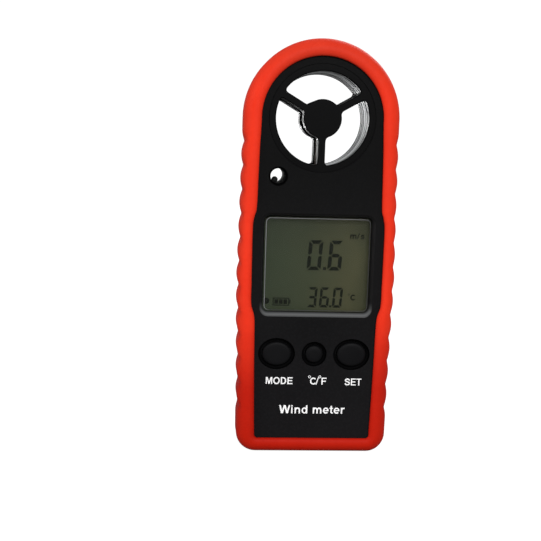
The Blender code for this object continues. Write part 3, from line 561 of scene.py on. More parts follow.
def body_outline(inset, arc=72, side=40, corner=8):
    """The body's outline, moved inwards by inset, anticlockwise from the base's middle."""
    r = max(CORNER_R - inset, 1.2)
    low = inset + r
    w0 = table_value(HALF_WIDTH, low) - inset
    half = [(w0 - r + r * math.cos(t), inset + r + r * math.sin(t)) for t in (-math.pi / 2 + k * math.pi / 2 / corner for k in range(corner + 1))]
    half += [(table_value(HALF_WIDTH, low + (HEAD_Z - low) * k / side) - inset, low + (HEAD_Z - low) * k / side) for k in range(1, side)]
    top = arc_points(0, HEAD_Z, HEAD_R - inset, 0, 180, arc)
    return half + top + [(-x, z) for x, z in reversed(half)]


BOTTOM_N, CORNER_N, SIDE_N, HEAD_N = 40, 12, 264, 150


def boot_loop(edge_x, edge_z, corner, side_width, top_z, top_r):
    """An outline whose points keep step with the boot's crest: base, corner, side, head, side, corner."""
    right = [(edge_x * k / (BOTTOM_N / 2), edge_z) for k in range(BOTTOM_N // 2)]
    right += [(edge_x + corner * math.sin(t), edge_z + corner - corner * math.cos(t)) for t in (math.pi / 2 * k / CORNER_N for k in range(CORNER_N))]
    z0 = edge_z + corner
    for k in range(SIDE_N):
        z = z0 + (top_z - z0) * k / SIDE_N
        right.append((side_width(z), z))
    head = [(top_r * math.cos(math.pi * k / HEAD_N), top_z + top_r * math.sin(math.pi * k / HEAD_N)) for k in range(HEAD_N + 1)]
    return right + head + [(-x, z) for x, z in reversed(right[1:])]


def crest_width(z):
    return table_value(HALF_WIDTH, z)


# ------------------------------------------------------------------ camera, light and stage
def build_camera():
    yaw, pitch, roll = math.radians(3.962), math.radians(-8.25), math.radians(1.71)
    forward = Vector((math.sin(yaw) * math.cos(pitch), math.cos(yaw) * math.cos(pitch), math.sin(pitch)))
    right = Vector((math.cos(yaw), -math.sin(yaw), 0.0))
    up = right.cross(forward)
    r2 = math.cos(roll) * right + math.sin(roll) * up
    u2 = -math.sin(roll) * right + math.cos(roll) * up
    cam = bpy.data.objects.new("camera", bpy.data.cameras.new("camera"))
    bpy.context.scene.collection.objects.link(cam)
    m = Matrix((r2, u2, -forward)).transposed().to_4x4()
    m.translation = Vector((-0.0270, -0.227, 0.0795))
    cam.matrix_world = m
    cam.data.sensor_width = 36.0
    cam.data.lens = 889.0 / 541.0 * 36.0
    cam.data.clip_start, cam.data.clip_end = 0.01, 20.0
    bpy.context.scene.camera = cam


def area(name, where, target, size, power, color=(1, 1, 1)):
    light = bpy.data.lights.new(name, "AREA")
    light.shape = "RECTANGLE"
    light.size, light.size_y = size
    light.energy = power
    light.color = color
    obj = bpy.data.objects.new(name, light)
    obj.location = where
    obj.rotation_mode = "QUATERNION"
    obj.rotation_quaternion = (Vector(target) - Vector(where)).to_track_quat("-Z", "Y")
    bpy.context.scene.collection.objects.link(obj)


def camera_only(tree, seen, felt):
    """A strength that differs between what the camera sees of the stage and what the object receives from it."""
    path = tree.nodes.new("ShaderNodeLightPath")
    mixed = tree.nodes.new("ShaderNodeMapRange")
    mixed.inputs["To Min"].default_value = felt
    mixed.inputs["To Max"].default_value = seen
    tree.links.new(path.outputs["Is Camera Ray"], mixed.inputs["Value"])
    return mixed.outputs["Result"]


def build_stage():
    bm = bmesh.new()
    bmesh.ops.create_grid(bm, x_segments=1, y_segments=1, size=6.0)
    mesh = bpy.data.meshes.new("floor")
    bm.to_mesh(mesh)
    bm.free()
    floor = bpy.data.objects.new("floor", mesh)
    bpy.context.scene.collection.objects.link(floor)
    floor.location.z = -0.00005
    m = Nodes("floor_white")
    n = m.noise(6.0, 2.0)
    shader = m.principled(m.ramp(n, [(0.3, (0.27, 0.27, 0.27)), (0.7, (0.29, 0.29, 0.29))]), 0.8, 0.0, Specular_IOR_Level=0.05)
    m.set(shader, "Emission Color", (1, 1, 1, 1))
    m.tree.links.new(camera_only(m.tree, 0.93, 0.0), shader.inputs["Emission Strength"])
    floor.data.materials.append(m.mat)
    world = bpy.data.worlds.new("studio")
    world.use_nodes = True
    bpy.context.scene.world = world
    back = world.node_tree.nodes["Background"]
    world.node_tree.links.new(camera_only(world.node_tree, 1.06, 0.34), back.inputs["Strength"])
    back.inputs["Color"].default_value = (1, 1, 1, 1)
    area("key_light", (0.10, -1.10, 0.56), (0, 0, 0.055), (0.55, 0.40), 9.4)
    area("side_light", (-0.85, -0.30, 0.35), (0, 0, 0.055), (0.5, 0.5), 2.2)
    area("back_light", (0.45, 0.80, 0.70), (0, 0, 0.055), (0.6, 0.6), 5.0)
    for name, where, target, power in (("duct_light_high", (-0.22, 0.50, 0.125), (0.005, 0.0, 0.0860), 6.5),
                                       ("duct_light_low", (-0.14, 0.52, 0.005), (0.005, 0.0, 0.0855), 8.0)):
        lamp = bpy.data.lights.new(name, "SPOT")     # narrow beams through the duct, onto its lining
        lamp.energy, lamp.spot_size, lamp.spot_blend, lamp.shadow_soft_size = power, math.radians(2.8), 0.5, 0.012
        obj = bpy.data.objects.new(name, lamp)
        obj.location = where
        obj.rotation_mode = "QUATERNION"
        obj.rotation_quaternion = (Vector(target) - Vector(where)).to_track_quat("-Z", "Y")
        bpy.context.scene.collection.objects.link(obj)
    bpy.context.scene.view_settings.view_transform = "Standard"


build_camera()
build_stage()


# ------------------------------------------------------------------ rubber boot
def notch(z):
    """How far the grip's scallops cut into the side at a height."""
    k = min(max(round((z - NOTCH_FIRST) / NOTCH_PITCH), 0), NOTCH_COUNT - 1)
    u = abs(z - (NOTCH_FIRST + k * NOTCH_PITCH)) / (NOTCH_PITCH / 2)
    if u >= 1:
        return 0.0
    u = math.sqrt(u * u + 0.005) - 0.0707 * (1 - u)
    return NOTCH_DEPTH * max(1 - u, 0) ** 1.9


def build_boot():
    inset = 0.06
    crest = np.array(boot_loop(crest_width(CORNER_R) - CORNER_R - inset, inset, CORNER_R, lambda z: crest_width(z) - inset, HEAD_Z, HEAD_R - inset))
    inner = np.array(boot_loop(crest_width(CORNER_R) - BOOT_WALL - 3.2, BOOT_WALL, 3.2, lambda z: crest_width(z) - BOOT_WALL, HEAD_Z, HEAD_R - BOOT_WALL))
    front = np.array(boot_loop(14.80 - 0.9, OPEN_BOTTOM, 0.9, lambda z: table_value(OPEN_FRONT, z), OPEN_TOP_Z, OPEN_TOP_R))
    rear = np.array(boot_loop(14.7 - 2.0, REAR_BOTTOM, 2.0, lambda z: table_value(OPEN_REAR, z), OPEN_TOP_Z, OPEN_TOP_R))
    n = len(crest)
    tangent = np.roll(crest, -1, 0) - np.roll(crest, 1, 0)
    tangent /= np.linalg.norm(tangent, axis=1)[:, None]
    normal = np.stack([tangent[:, 1], -tangent[:, 0]], 1)
    z = crest[:, 1]
    on_side = np.abs(crest[:, 0]) > 15
    depth = np.array([notch(v) if s else 0.0 for v, s in zip(z, on_side)])
    half = THICK / 2

    def section(opening, s):
        """Rows of (points, y, share of the scallops, wear, painted shade) from the middle of the side to under the lip.
        """
        span = opening - crest
        width = np.linalg.norm(span, axis=1)
        u = span / width[:, None]
        draft = 0.45 if s > 0 else 0.0            # the rear half draws in a little
        edge = np.where(width < 4.0, 1.15, 1.45)
        roll_w, roll_y = np.minimum(3.2, width - edge)[:, None], 3.7
        rows = [(crest - normal * (0.08 + draft * (y / 4.8) ** 1.5), s * y, 1.0, 0.25, 0.0) for y in (1.2, 2.4, 3.6, 4.6)]
        for k in range(17):
            t = math.pi / 2 * k / 16
            d = roll_w * (1 - math.cos(t))
            y = (half - roll_y) + roll_y * math.sin(t)
            rows.append((crest + u * d - normal * ((0.08 + draft) * (1 - k / 16)), s * y, max(0.0, 1 - (k / 10) ** 1.5), 0.35 + 0.5 * math.sin(2 * t), 0.0))
        for k in range(1, 15):
            t = math.pi / 2 * k / 14
            # the rows under the lip carry painted shade that rises towards the opening
            rows.append((crest + u * (roll_w + (width[:, None] - roll_w) * math.sin(t)), s * (half - 0.85 * (1 - math.cos(t))), 0.0, 0.3 * (1 - k / 14), 0.8 * (k / 14) ** 2))
        rows.append((opening - u * 0.1, s * LIP_Y, 0.0, 0.0, 1.0))
        rows.append((opening - u * 1.2, s * LIP_Y, 0.0, 0.0, 1.0))
        rows.append((inner, s * LIP_Y, 0.0, 0.0, 1.0))
        rows.append((inner, s * 4.0, 0.0, 0.0, 1.0))
        return rows

    ridge = [(crest + normal * 0.0, 0.0, 1.0, 0.8, 0.0)]
    flank = [(crest - normal * d, y, 1.0, 0.4, 0.0) for y, d in ((0.14, 0.0), (0.34, 0.05))]
    mirror = [(p, -y, f, w, d) for p, y, f, w, d in flank]
    loop = ridge + flank + section(rear, 1) + [(inner, 0.0, 0.0, 0.0, 1.0)] + list(reversed(section(front, -1))) + list(reversed(mirror))
    bm = bmesh.new()
    worn = bm.verts.layers.float.new("worn")
    painted_recess_shade = bm.verts.layers.float.new("painted_recess_shade")
    grid = []
    for points, y, fade, wear, recess_shade_share in loop:
        moved = points - normal * (depth * fade)[:, None]
        row = []
        for i in range(n):
            v = bm.verts.new((moved[i, 0], y, max(moved[i, 1], 0.0)))
            lobe = 1 - depth[i] / NOTCH_DEPTH if on_side[i] else 0.5
            v[worn] = wear * (0.4 + 0.6 * lobe)
            # painted shade: full under the lip, partial in the scallops' valleys
            v[painted_recess_shade] = min(1.0, recess_shade_share + 0.5 * fade * depth[i] / NOTCH_DEPTH)
            row.append(v)
        grid.append(row)
    for a, b in zip(grid, grid[1:] + grid[:1]):
        for i in range(n):
            j = (i + 1) % n
            bm.faces.new((a[i], a[j], b[j], b[i]))
    settle(make(bm, "boot_skin", RED, merge=0), "root", "rubber_boot", 50, False)


build_boot()


# ------------------------------------------------------------------ covers
def window_levels():
    """The window's sunken border: wide below, narrow at the sides and above."""
    def ring(side, top, bottom, r):
        return round_rect(-WIN_X - side, WIN_X + side, WIN_Z0 - bottom, WIN_Z1 + top, r)
    return [(ring(0.98, 0.92, 1.28, 2.4), -FACE_Y - 1.0), (ring(0.98, 0.92, 1.28, 2.4), -FACE_Y), (ring(0.84, 0.78, 1.14, 2.3), -FACE_Y + 0.03),
            (ring(0.70, 0.64, 1.02, 2.2), -FACE_Y + 0.12), (ring(0.56, 0.51, 0.80, 2.0), -FACE_Y + 0.30), (ring(0.34, 0.31, 0.46, 1.75), -FACE_Y + 0.62), (ring(0.20, 0.18, 0.24, 1.6), -FACE_Y + 0.86), (ring(0.06, 0.06, 0.08, 1.45), -FACE_Y + 0.95),
            (ring(0.0, 0.0, 0.0, 1.4), -FACE_Y + 1.05), (ring(0.0, 0.0, 0.0, 1.4), -FACE_Y + FACE_WALL + 0.5)]


def key_levels(x, z, rx, rz):
    def ring(d):
        return oval(x, z, rx + d, rz + d)
    return [(ring(1.12), -FACE_Y - 1.0), (ring(1.12), -FACE_Y), (ring(1.04), -FACE_Y + 0.03), (ring(0.98), -FACE_Y + 0.12), (ring(0.95), -FACE_Y + 0.32),
            (ring(0.93), -FACE_Y + 0.90), (ring(0.86), -FACE_Y + 1.12), (ring(0.66), -FACE_Y + 1.22), (ring(0.36), -FACE_Y + 1.24),
            (ring(0.30), -FACE_Y + 1.32), (ring(0.30), -FACE_Y + FACE_WALL + 0.3)]


def vent_profile(s, reach):
    return [(r, s * y) for r, y in ((0.0, FACE_Y + 1), (2.40, FACE_Y + 1), (2.40, FACE_Y), (2.22, FACE_Y - 0.05), (2.08, FACE_Y - 0.17),
                                    (1.98, FACE_Y - 0.38), (1.93, FACE_Y - 0.65), (VENT_R, FACE_Y - 1.0), (VENT_R, -reach), (0.0, -reach))]


def seat_profile(s):
    return [(r, s * y) for r, y in ((0.0, FACE_Y + 1), (13.28, FACE_Y + 1), (13.28, FACE_Y), (13.23, FACE_Y - 0.02), (13.21, FACE_Y - 0.05),
                                    (13.2, FACE_Y - 0.12), (13.2, FACE_Y - FACE_WALL - 0.3), (0.0, FACE_Y - FACE_WALL - 0.3))]


def shell(name, s):
    outer = resample(body_outline(CASE_INSET), 0.6)
    levels = [(outer, s * 0.15), (outer, s * (FACE_Y - 0.5)), (offset(outer, -0.08), s * (FACE_Y - 0.25)), (offset(outer, -0.25), s * (FACE_Y - 0.08)), (offset(outer, -0.5), s * FACE_Y)]
    cover = rings(name, levels, BLACK)
    cut(cover, plate("cavity", resample(body_outline(CASE_INSET + CASE_WALL, 48, 20, 5), 0.8), s * (FACE_Y - FACE_WALL), -s * 2.0))
    return cover


def paint_faces(obj, mat, inside):
    """Gives the faces whose centres pass a test a second material."""
    obj.data.materials.append(mat)
    for p in obj.data.polygons:
        if inside(p.center, p.normal):
            p.material_index = len(obj.data.materials) - 1


def build_front_cover():
    cover = shell("front_shell", -1)
    add(cover, joined(*[turned("post", ((0.0, -6.03), (2.4, -6.03), (2.4, -0.93), (0.0, -0.93)), x, z, 32) for x, z in BOSSES]))
    add(cover, turned("ring", ((14.42, -6.04), (15.3, -6.04), (15.3, -4.42), (14.42, -4.42)), 0, HEAD_Z, 96))
    add(cover, turned("tube", ((0.0, -6.6), (VENT_R + VENT_WALL, -6.6), (VENT_R + VENT_WALL, -0.45), (0.0, -0.45)), VENT_X, VENT_Z, 48))
    cut(cover, joined(turned("seat", seat_profile(-1), 0, HEAD_Z, 144), rings("window", window_levels())))
    cut(cover, turned("vent", vent_profile(-1, 2.03), VENT_X, VENT_Z, 64))
    cut(cover, joined(*[rings("key", key_levels(x, z, rx, rz)) for _, x, z, rx, rz in KEYS],
                      *[turned("pilot", ((0.0, -5.13), (1.15, -5.13), (1.15, 2.0), (0.0, 2.0)), x, z, 24) for x, z in BOSSES]))
    # painted highlight on the window's sunken border
    paint_faces(cover, BEVEL, lambda c, n: abs(c.x) < WIN_X + 0.9 and WIN_Z0 - 1.6 < c.z < WIN_Z1 + 0.9 and -FACE_Y + 0.02 < c.y < -FACE_Y + 1.0 and -0.97 < n.y < -0.2)
    # painted shade in the key moats and round the vent
    paint_faces(cover, PAINTED_SHADE_BLACK, lambda c, n: c.y > -FACE_Y + 0.10 and any(((c.x - x) / (rx + 1.06)) ** 2 + ((c.z - z) / (rz + 1.06)) ** 2 < 1 for _, x, z, rx, rz in KEYS))
    paint_faces(cover, PAINTED_SHADE_BLACK, lambda c, n: math.hypot(c.x - VENT_X, c.z - VENT_Z) < 2.38 and c.y > -FACE_Y + 0.01)
    settle(cover, "root", "front_cover", 24)


def sector(r0, r1, a0, a1, steps):
    return arc_points(0, DOOR_Z, r1, a0, a1, steps) + arc_points(0, DOOR_Z, r0, a1, a0, steps)


def build_rear_cover():
    cover = shell("rear_shell", 1)
    add(cover, joined(*[turned("post", ((0.0, 0.73), (2.6, 0.73), (2.6, 6.03), (0.0, 6.03)), x, z, 32) for x, z in BOSSES]))
    add(cover, turned("ring", ((14.42, 4.42), (15.3, 4.42), (15.3, 6.04), (14.42, 6.04)), 0, HEAD_Z, 96))
    add(cover, turned("bay", ((10.4, 0.76), (11.6, 0.76), (11.6, 4.0), (14.2, 4.0), (14.2, 6.07), (10.4, 6.07)), 0, DOOR_Z, 96))
    add(cover, turned("tube", ((0.0, 0.45), (VENT_R + VENT_WALL, 0.45), (VENT_R + VENT_WALL, 6.6), (0.0, 6.6)), VENT_X, VENT_Z, 48))
    cut(cover, joined(turned("seat", seat_profile(1), 0, HEAD_Z, 144),
                      turned("door_seat", ((0.0, 5.33), (SEAT_R, 5.33), (SEAT_R, FACE_Y - 0.35), (SEAT_R + 0.1, FACE_Y - 0.12), (SEAT_R + 0.38, FACE_Y), (SEAT_R + 0.38, 9.0), (0.0, 9.0)), 0, DOOR_Z, 144)))
    cut(cover, turned("vent", vent_profile(1, 2.03), VENT_X, VENT_Z, 64))
    cut(cover, joined(*[turned("clear", ((0.0, -2.0), (1.3, -2.0), (1.3, 5.41), (0.0, 5.41)), x, z, 24) for x, z in BOSSES]))
    cut(cover, joined(*[turned("bore", ((0.0, 5.22), (2.25, 5.22), (2.25, FACE_Y - 0.25), (2.33, FACE_Y - 0.08), (2.52, FACE_Y), (2.52, 9.1), (0.0, 9.1)), x, z, 48) for x, z in BOSSES]))
    cut(cover, joined(*[plate("channel", sector(SEAT_R - 0.6, LUG_R + GAP, 90 + 120 * k - DOOR_TURN - 2, 90 + 120 * k + LUG_DEG + 2, 24), 5.46, 6.55) for k in range(3)]))
    cut(cover, joined(*[plate("entry", sector(SEAT_R - 0.57, LUG_R + GAP - 0.02, 90 + 120 * k - DOOR_TURN - 1.5, 90 + 120 * k + LUG_DEG - DOOR_TURN + 1.5, 9), 6.02, 8.8) for k in range(3)]))
    cut(cover, turned("groove", ((10.72, 4.43), (11.82, 4.43), (11.82, 5.53), (10.72, 5.53)), 0, DOOR_Z, 96))
    cut(cover, box("notch", 9.8, 14.6, -0.4, 3.7, DOOR_Z - 2.2, DOOR_Z + 2.2))
    settle(cover, "root", "rear_cover", 24)


build_front_cover()
build_rear_cover()


# ------------------------------------------------------------------ duct
def guard_window(start, end, r_in, r_out, size_in=1.0):
    """One open sector of a guard, between two spokes, with eased corners."""
    def edge_angle(r):
        return math.degrees(math.asin(SPOKE_W / 2 / r))
    outer = arc_points(0, HEAD_Z, r_out, start + edge_angle(r_out), end - edge_angle(r_out), 60)
    inner = arc_points(0, HEAD_Z, r_in, end - edge_angle(r_in), start + edge_angle(r_in), 36)

    def line(a, b, n=12):
        return [(a[0] + (b[0] - a[0]) * k / n, a[1] + (b[1] - a[1]) * k / n) for k in range(n + 1)]
    return resample(joint_fillet([outer, line(outer[-1], inner[0]), inner, line(inner[-1], outer[0])], size_in), 0.25)


def build_guard(name, s):
    """A grille in one piece: rim, three deep spokes and a hub, its front edges rounded."""
    e = 0.10
    profile = [(0.0, 2.7), (11.0, 2.7), (11.2, 2.9), (11.2, 6.12), (12.35, 6.12), (12.35, 4.7), (FLANGE_R, 4.7), (FLANGE_R, 5.3), (GUARD_R, 5.3),
               (GUARD_R, GUARD_Y - e), (GUARD_R - 0.03, GUARD_Y - 0.03), (GUARD_R - e, GUARD_Y), (0.0, GUARD_Y)]
    guard = turned(name, [(r, s * y) for r, y in profile], 0, HEAD_Z, 157, GUARD)
    wins = []
    for a in SPOKES_DEG:
        w = guard_window(a, a + 120.0, HUB_R, DUCT_R)
        levels = [(offset(w, 0.48), s * (GUARD_Y + 1)), (offset(w, 0.48), s * (GUARD_Y + 0.22))]
        levels += [(offset(w, d), s * (GUARD_Y - h)) for d, h in ((0.10, 0.10), (0.03, 0.22), (0.0, 0.36))]
        levels += [(w, s * 2.95), (offset(w, 0.30), s * 2.60), (offset(w, 0.30), s * 1.5)]
        wins.append(rings("win", levels))
    cut(guard, turned("pocket", [(r, s * y) for r, y in ((0.0, 2.0), (1.6, 2.0), (1.6, 4.4), (0.0, 4.4))], 0, HEAD_Z, 32))
    if s > 0:
        cut(guard, box("sensor_pocket", -1.25, 1.25, 1.9, 4.53, HEAD_Z - 4.15, HEAD_Z - 1.03))
    cut(guard, joined(*wins))
    settle(guard, "root", name.replace("_grille", ""), 28)


build_guard("front_guard_grille", -1)
build_guard("rear_guard_grille", 1)


def build_liner():
    """A turned sleeve with fine grooves round its bore."""
    profile = [(11.62, -6.0), (12.05, -6.0), (12.05, 6.0), (11.62, 6.0), (11.55, 5.92)]
    for g, w in ((4.1, 0.42), (1.3, 0.50), (-1.5, 0.30), (-4.0, 0.55)):
        profile += [(11.55, g + w + 0.1), (11.63, g + w), (11.68, g + w * 0.4), (11.68, g - w * 0.4), (11.63, g - w), (11.55, g - w - 0.1)]
    profile += [(11.55, -5.9)]
    liner = turned("duct_lining", profile, 0, HEAD_Z, 160, LINER)
    cut(liner, box("slot", -0.95, 0.95, 1.95, 2.75, HEAD_Z - 12.6, HEAD_Z - 11.0))
    # marks the grooves for their painted shade
    groove_shade_mark = liner.data.attributes.new("groove", "FLOAT", "POINT")
    for i, v in enumerate(liner.data.vertices):
        r = math.hypot(v.co.x, v.co.z - HEAD_Z)
        groove_shade_mark.data[i].value = 1.0 if 11.60 < r < 11.9 and abs(v.co.y) < 5.6 else 0.0
    settle(liner, "root", "duct_liner", 30)


build_liner()


def build_impeller():
    """Hub with a domed nose and six twisted, cambered blades."""
    profile = [(0.7, 1.1), (0.7, -1.7), (1.9, -1.7), (2.6, -1.62), (3.1, -1.42), (3.35, -1.1), (3.4, -0.7), (3.4, 0.9), (3.2, 1.1)]
    hub = turned("impeller_wheel", profile, 0, HEAD_Z, 72, BLADE)
    blades = []
    for k in range(6):
        bm = bmesh.new()
        span, across = 14, 10
        grid = {}
        for face in (0, 1):
            for i in range(span + 1):
                f = i / span
                r = 3.05 + (10.6 - 3.05) * f
                chord = 2.3 + 1.35 * f**0.8
                if f > 0.86:
                    chord *= math.sqrt(max(1 - ((f - 0.86) / 0.14) ** 2 * 0.55, 0.05))
                pitch = math.radians(50 - 16 * f)
                for j in range(across + 1):
                    c = (j / across - 0.5)
                    camber = 0.22 * (1 - (2 * c) ** 2)
                    thick = 0.24 * math.sqrt(max(1 - abs(2 * c) ** 3, 0.04))
                    h = camber + (thick if face else -thick)
                    along, lift = c * chord, h
                    y = along * math.sin(pitch) + lift * math.cos(pitch) - 0.3
                    t = along * math.cos(pitch) - lift * math.sin(pitch)
                    a = math.radians(30 + 60 * k)
                    x = r * math.cos(a) - t * math.sin(a)
                    z = r * math.sin(a) + t * math.cos(a)
                    grid[face, i, j] = bm.verts.new((x, y, z + HEAD_Z))
        for face in (0, 1):
            for i in range(span):
                for j in range(across):
                    q = [grid[face, i, j], grid[face, i + 1, j], grid[face, i + 1, j + 1], grid[face, i, j + 1]]
                    bm.faces.new(q if face else list(reversed(q)))
        for i in range(span):
            bm.faces.new((grid[0, i, 0], grid[0, i + 1, 0], grid[1, i + 1, 0], grid[1, i, 0]))
            bm.faces.new((grid[1, i, across], grid[1, i + 1, across], grid[0, i + 1, across], grid[0, i, across]))
        for j in range(across):
            bm.faces.new((grid[1, 0, j], grid[1, 0, j + 1], grid[0, 0, j + 1], grid[0, 0, j]))
            bm.faces.new((grid[0, span, j], grid[0, span, j + 1], grid[1, span, j + 1], grid[1, span, j]))
        blades.append(make(bm, "blade"))
    add(hub, joined(*blades))
    settle(hub, "impeller_rotor", "impeller", 40)


build_impeller()


def build_bead():
    """An epoxy drop on two thin leads."""
    bm = bmesh.new()
    bmesh.ops.create_uvsphere(bm, u_segments=32, v_segments=20, radius=0.82)
    for v in bm.verts:
        t = -v.co.z / 0.82
        if t > 0:
            v.co.x *= 1 - 0.35 * t * t
            v.co.y *= 1 - 0.35 * t * t
            v.co.z *= 1 + 0.12 * t
    bmesh.ops.transform(bm, matrix=Matrix.Translation((-10.95, 0, 69.98)), verts=bm.verts)
    settle(make(bm, "thermistor_drop", SEAL), "root", "thermistor_bead", 60, False)


build_bead()


# ------------------------------------------------------------------ display
def build_window():
    g = 0.3
    def ring(d, r):
        return round_rect(-WIN_X + g + d, WIN_X - g - d, WIN_Z0 + g + d, WIN_Z1 - g - d, r)
    levels = [(ring(0.0, 1.25), -5.0), (ring(0.0, 1.25), -6.22), (ring(0.03, 1.2), -6.34), (ring(0.12, 1.1), -6.44), (ring(0.26, 1.0), -6.5)]
    lens = rings("window_lens", levels, CLEAR)
    add(lens, plate("flange", round_rect(-14.5, 14.5, 36.0, 62.1, 1.6), -5.32, -4.7))
    settle(lens, "root", "display_window", 24)


build_window()

def build_window_edge_highlight():
    """A thin grey strip round the lens's edge, brightest on the left: a painted highlight for the edge's glint."""
    def ring(d, r):
        return resample(round_rect(-WIN_X + 0.3 + d, WIN_X - 0.3 - d, WIN_Z0 + 0.3 + d, WIN_Z1 - 0.3 - d, r), 0.3)
    m = Nodes("lens_edge_painted_highlight")
    sep = m.new("ShaderNodeSeparateXYZ")
    m.tree.links.new(m.coords(), sep.inputs[0])
    streak = m.noise(420.0, 3.0, 0.6)
    # painted highlight, strongest on the left
    left = m.mapped(sep.outputs["X"], 1.0, 0.0, -0.0130, -0.0118)
    tone = m.math("MULTIPLY", m.mapped(streak, 0.75, 1.2, 0.3, 0.7), m.math("ADD", m.math("MULTIPLY", left, 0.20), 0.055))
    color = m.new("ShaderNodeCombineColor", inputs={"Red": tone, "Green": tone, "Blue": m.math("MULTIPLY", tone, 1.04)}).outputs[0]
    m.principled(color, m.mapped(streak, 0.25, 0.4), 0.0, m.bump(streak, 0.1, 0.00001), Specular_IOR_Level=0.3)
    outer, inner = ring(0.02, 1.2), ring(0.17, 1.05)
    n = min(len(outer), len(inner))
    outer = resample(outer, sum(math.dist(a, b) for a, b in zip(outer, outer[1:] + outer[:1])) / n)[:n]
    inner = resample(inner, sum(math.dist(a, b) for a, b in zip(inner, inner[1:] + inner[:1])) / n)[:n]
    line = rings("window_edge_painted_highlight", [(outer, -6.40), (outer, -6.53), (inner, -6.56), (inner, -6.40)], m.mat, closed=True)
    settle(line, "root", (), 30, False)


build_window_edge_highlight()

SEGMENTS = {"0": "abcdef", "3": "abcdg", "6": "acdefg"}


def seven(digit, x, z, w, h, t, slant=0.07):
    """Outlines of a seven-segment digit whose lower left corner is at x, z."""
    g = t * 0.12
    mid = h / 2
    shapes = {
        "a": [(g + t * 0.2, h), (w - g - t * 0.2, h), (w - g - t, h - t), (g + t, h - t)],
        "d": [(g + t, t), (w - g - t, t), (w - g - t * 0.2, 0), (g + t * 0.2, 0)],
        "g": [(g + t * 0.55, mid), (g + t, mid + t / 2), (w - g - t, mid + t / 2), (w - g - t * 0.55, mid), (w - g - t, mid - t / 2), (g + t, mid - t / 2)],
        "f": [(0, h - g - t * 0.2), (t, h - g - t), (t, mid + g + t / 2), (t * 0.5, mid + g), (0, mid + g + t * 0.2)],
        "e": [(0, mid - g - t * 0.2), (t * 0.5, mid - g), (t, mid - g - t / 2), (t, g + t), (0, g + t * 0.2)],
        "b": [(w, h - g - t * 0.2), (w, mid + g + t * 0.2), (w - t * 0.5, mid + g), (w - t, mid + g + t / 2), (w - t, h - g - t)],
        "c": [(w, mid - g - t * 0.2), (w, g + t * 0.2), (w - t, g + t), (w - t, mid - g - t / 2), (w - t * 0.5, mid - g)],
    }
    return [[(x + px + slant * pz, z + pz) for px, pz in shapes[s]] for s in SEGMENTS[digit]]


class Ink:
    """A thin printed layer, built of closed prisms between two depths."""

    def __init__(self, y_back, y_front):
        self.bm = bmesh.new()
        self.y = (y_back, y_front)

    def loops(self, points):
        return [[self.bm.verts.new((x, y, z)) for x, z in points] for y in self.y]

    def polygon(self, points):
        area2 = sum(a[0] * b[1] - b[0] * a[1] for a, b in zip(points, points[1:] + points[:1]))
        lo, hi = self.loops(points if area2 > 0 else list(reversed(points)))
        n = len(lo)
        self.bm.faces.new(list(reversed(lo)))
        self.bm.faces.new(hi)
        for i in range(n):
            self.bm.faces.new((lo[i], lo[(i + 1) % n], hi[(i + 1) % n], hi[i]))

    def band(self, left, right, closed=False):
        """A strip between two rows of points; closed makes it a ring."""
        (la, lb), (ra, rb) = self.loops(left), self.loops(right)
        n = len(left)
        for i in range(n if closed else n - 1):
            j = (i + 1) % n
            self.bm.faces.new((lb[i], lb[j], rb[j], rb[i]))
            self.bm.faces.new((la[j], la[i], ra[i], ra[j]))
            self.bm.faces.new((la[i], la[j], lb[j], lb[i]))
            self.bm.faces.new((ra[j], ra[i], rb[i], rb[j]))
        if not closed:
            self.bm.faces.new((la[0], lb[0], rb[0], ra[0]))
            self.bm.faces.new((la[-1], ra[-1], rb[-1], lb[-1]))

    def stroke(self, path, width):
        p = np.array(path, float)
        t = np.gradient(p, axis=0)
        t /= np.linalg.norm(t, axis=1)[:, None]
        n = np.stack([-t[:, 1], t[:, 0]], 1) * width / 2
        self.band([tuple(q) for q in p + n], [tuple(q) for q in p - n])

    def done(self, name, mat):
        bmesh.ops.recalc_face_normals(self.bm, faces=self.bm.faces)
        return settle(make(self.bm, name, mat, merge=0), "root", ())


def spline(points, steps=6):
    """A smooth curve through points."""
    p = [points[0]] + list(points) + [points[-1]]
    out = []
    for a, b, c, d in zip(p, p[1:], p[2:], p[3:]):
        for k in range(steps):
            t = k / steps
            out.append(tuple(0.5 * (2 * b[i] + (c[i] - a[i]) * t + (2 * a[i] - 5 * b[i] + 4 * c[i] - d[i]) * t**2 + (3 * b[i] - a[i] - 3 * c[i] + d[i]) * t**3) for i in (0, 1)))
    return out + [points[-1]]


def ellipse(cx, cy, rx, ry, a0=0.0, a1=360.0, steps=40):
    return [(cx + rx * math.cos(math.radians(a0 + (a1 - a0) * k / steps)), cy + ry * math.sin(math.radians(a0 + (a1 - a0) * k / steps))) for k in range(steps + 1)]


WIDTHS = {"M": 1.163, "O": 1.087, "D": 1.008, "E": 0.932, "S": 0.932, "T": 0.853, "C": 1.008, "F": 0.853, "W": 1.318, "i": 0.388, "n": 0.853, "d": 0.853,
          "m": 1.242, "e": 0.777, "t": 0.465, "r": 0.543, "/": 0.60, "s": 0.72, " ": 0.388, "°": 0.30}


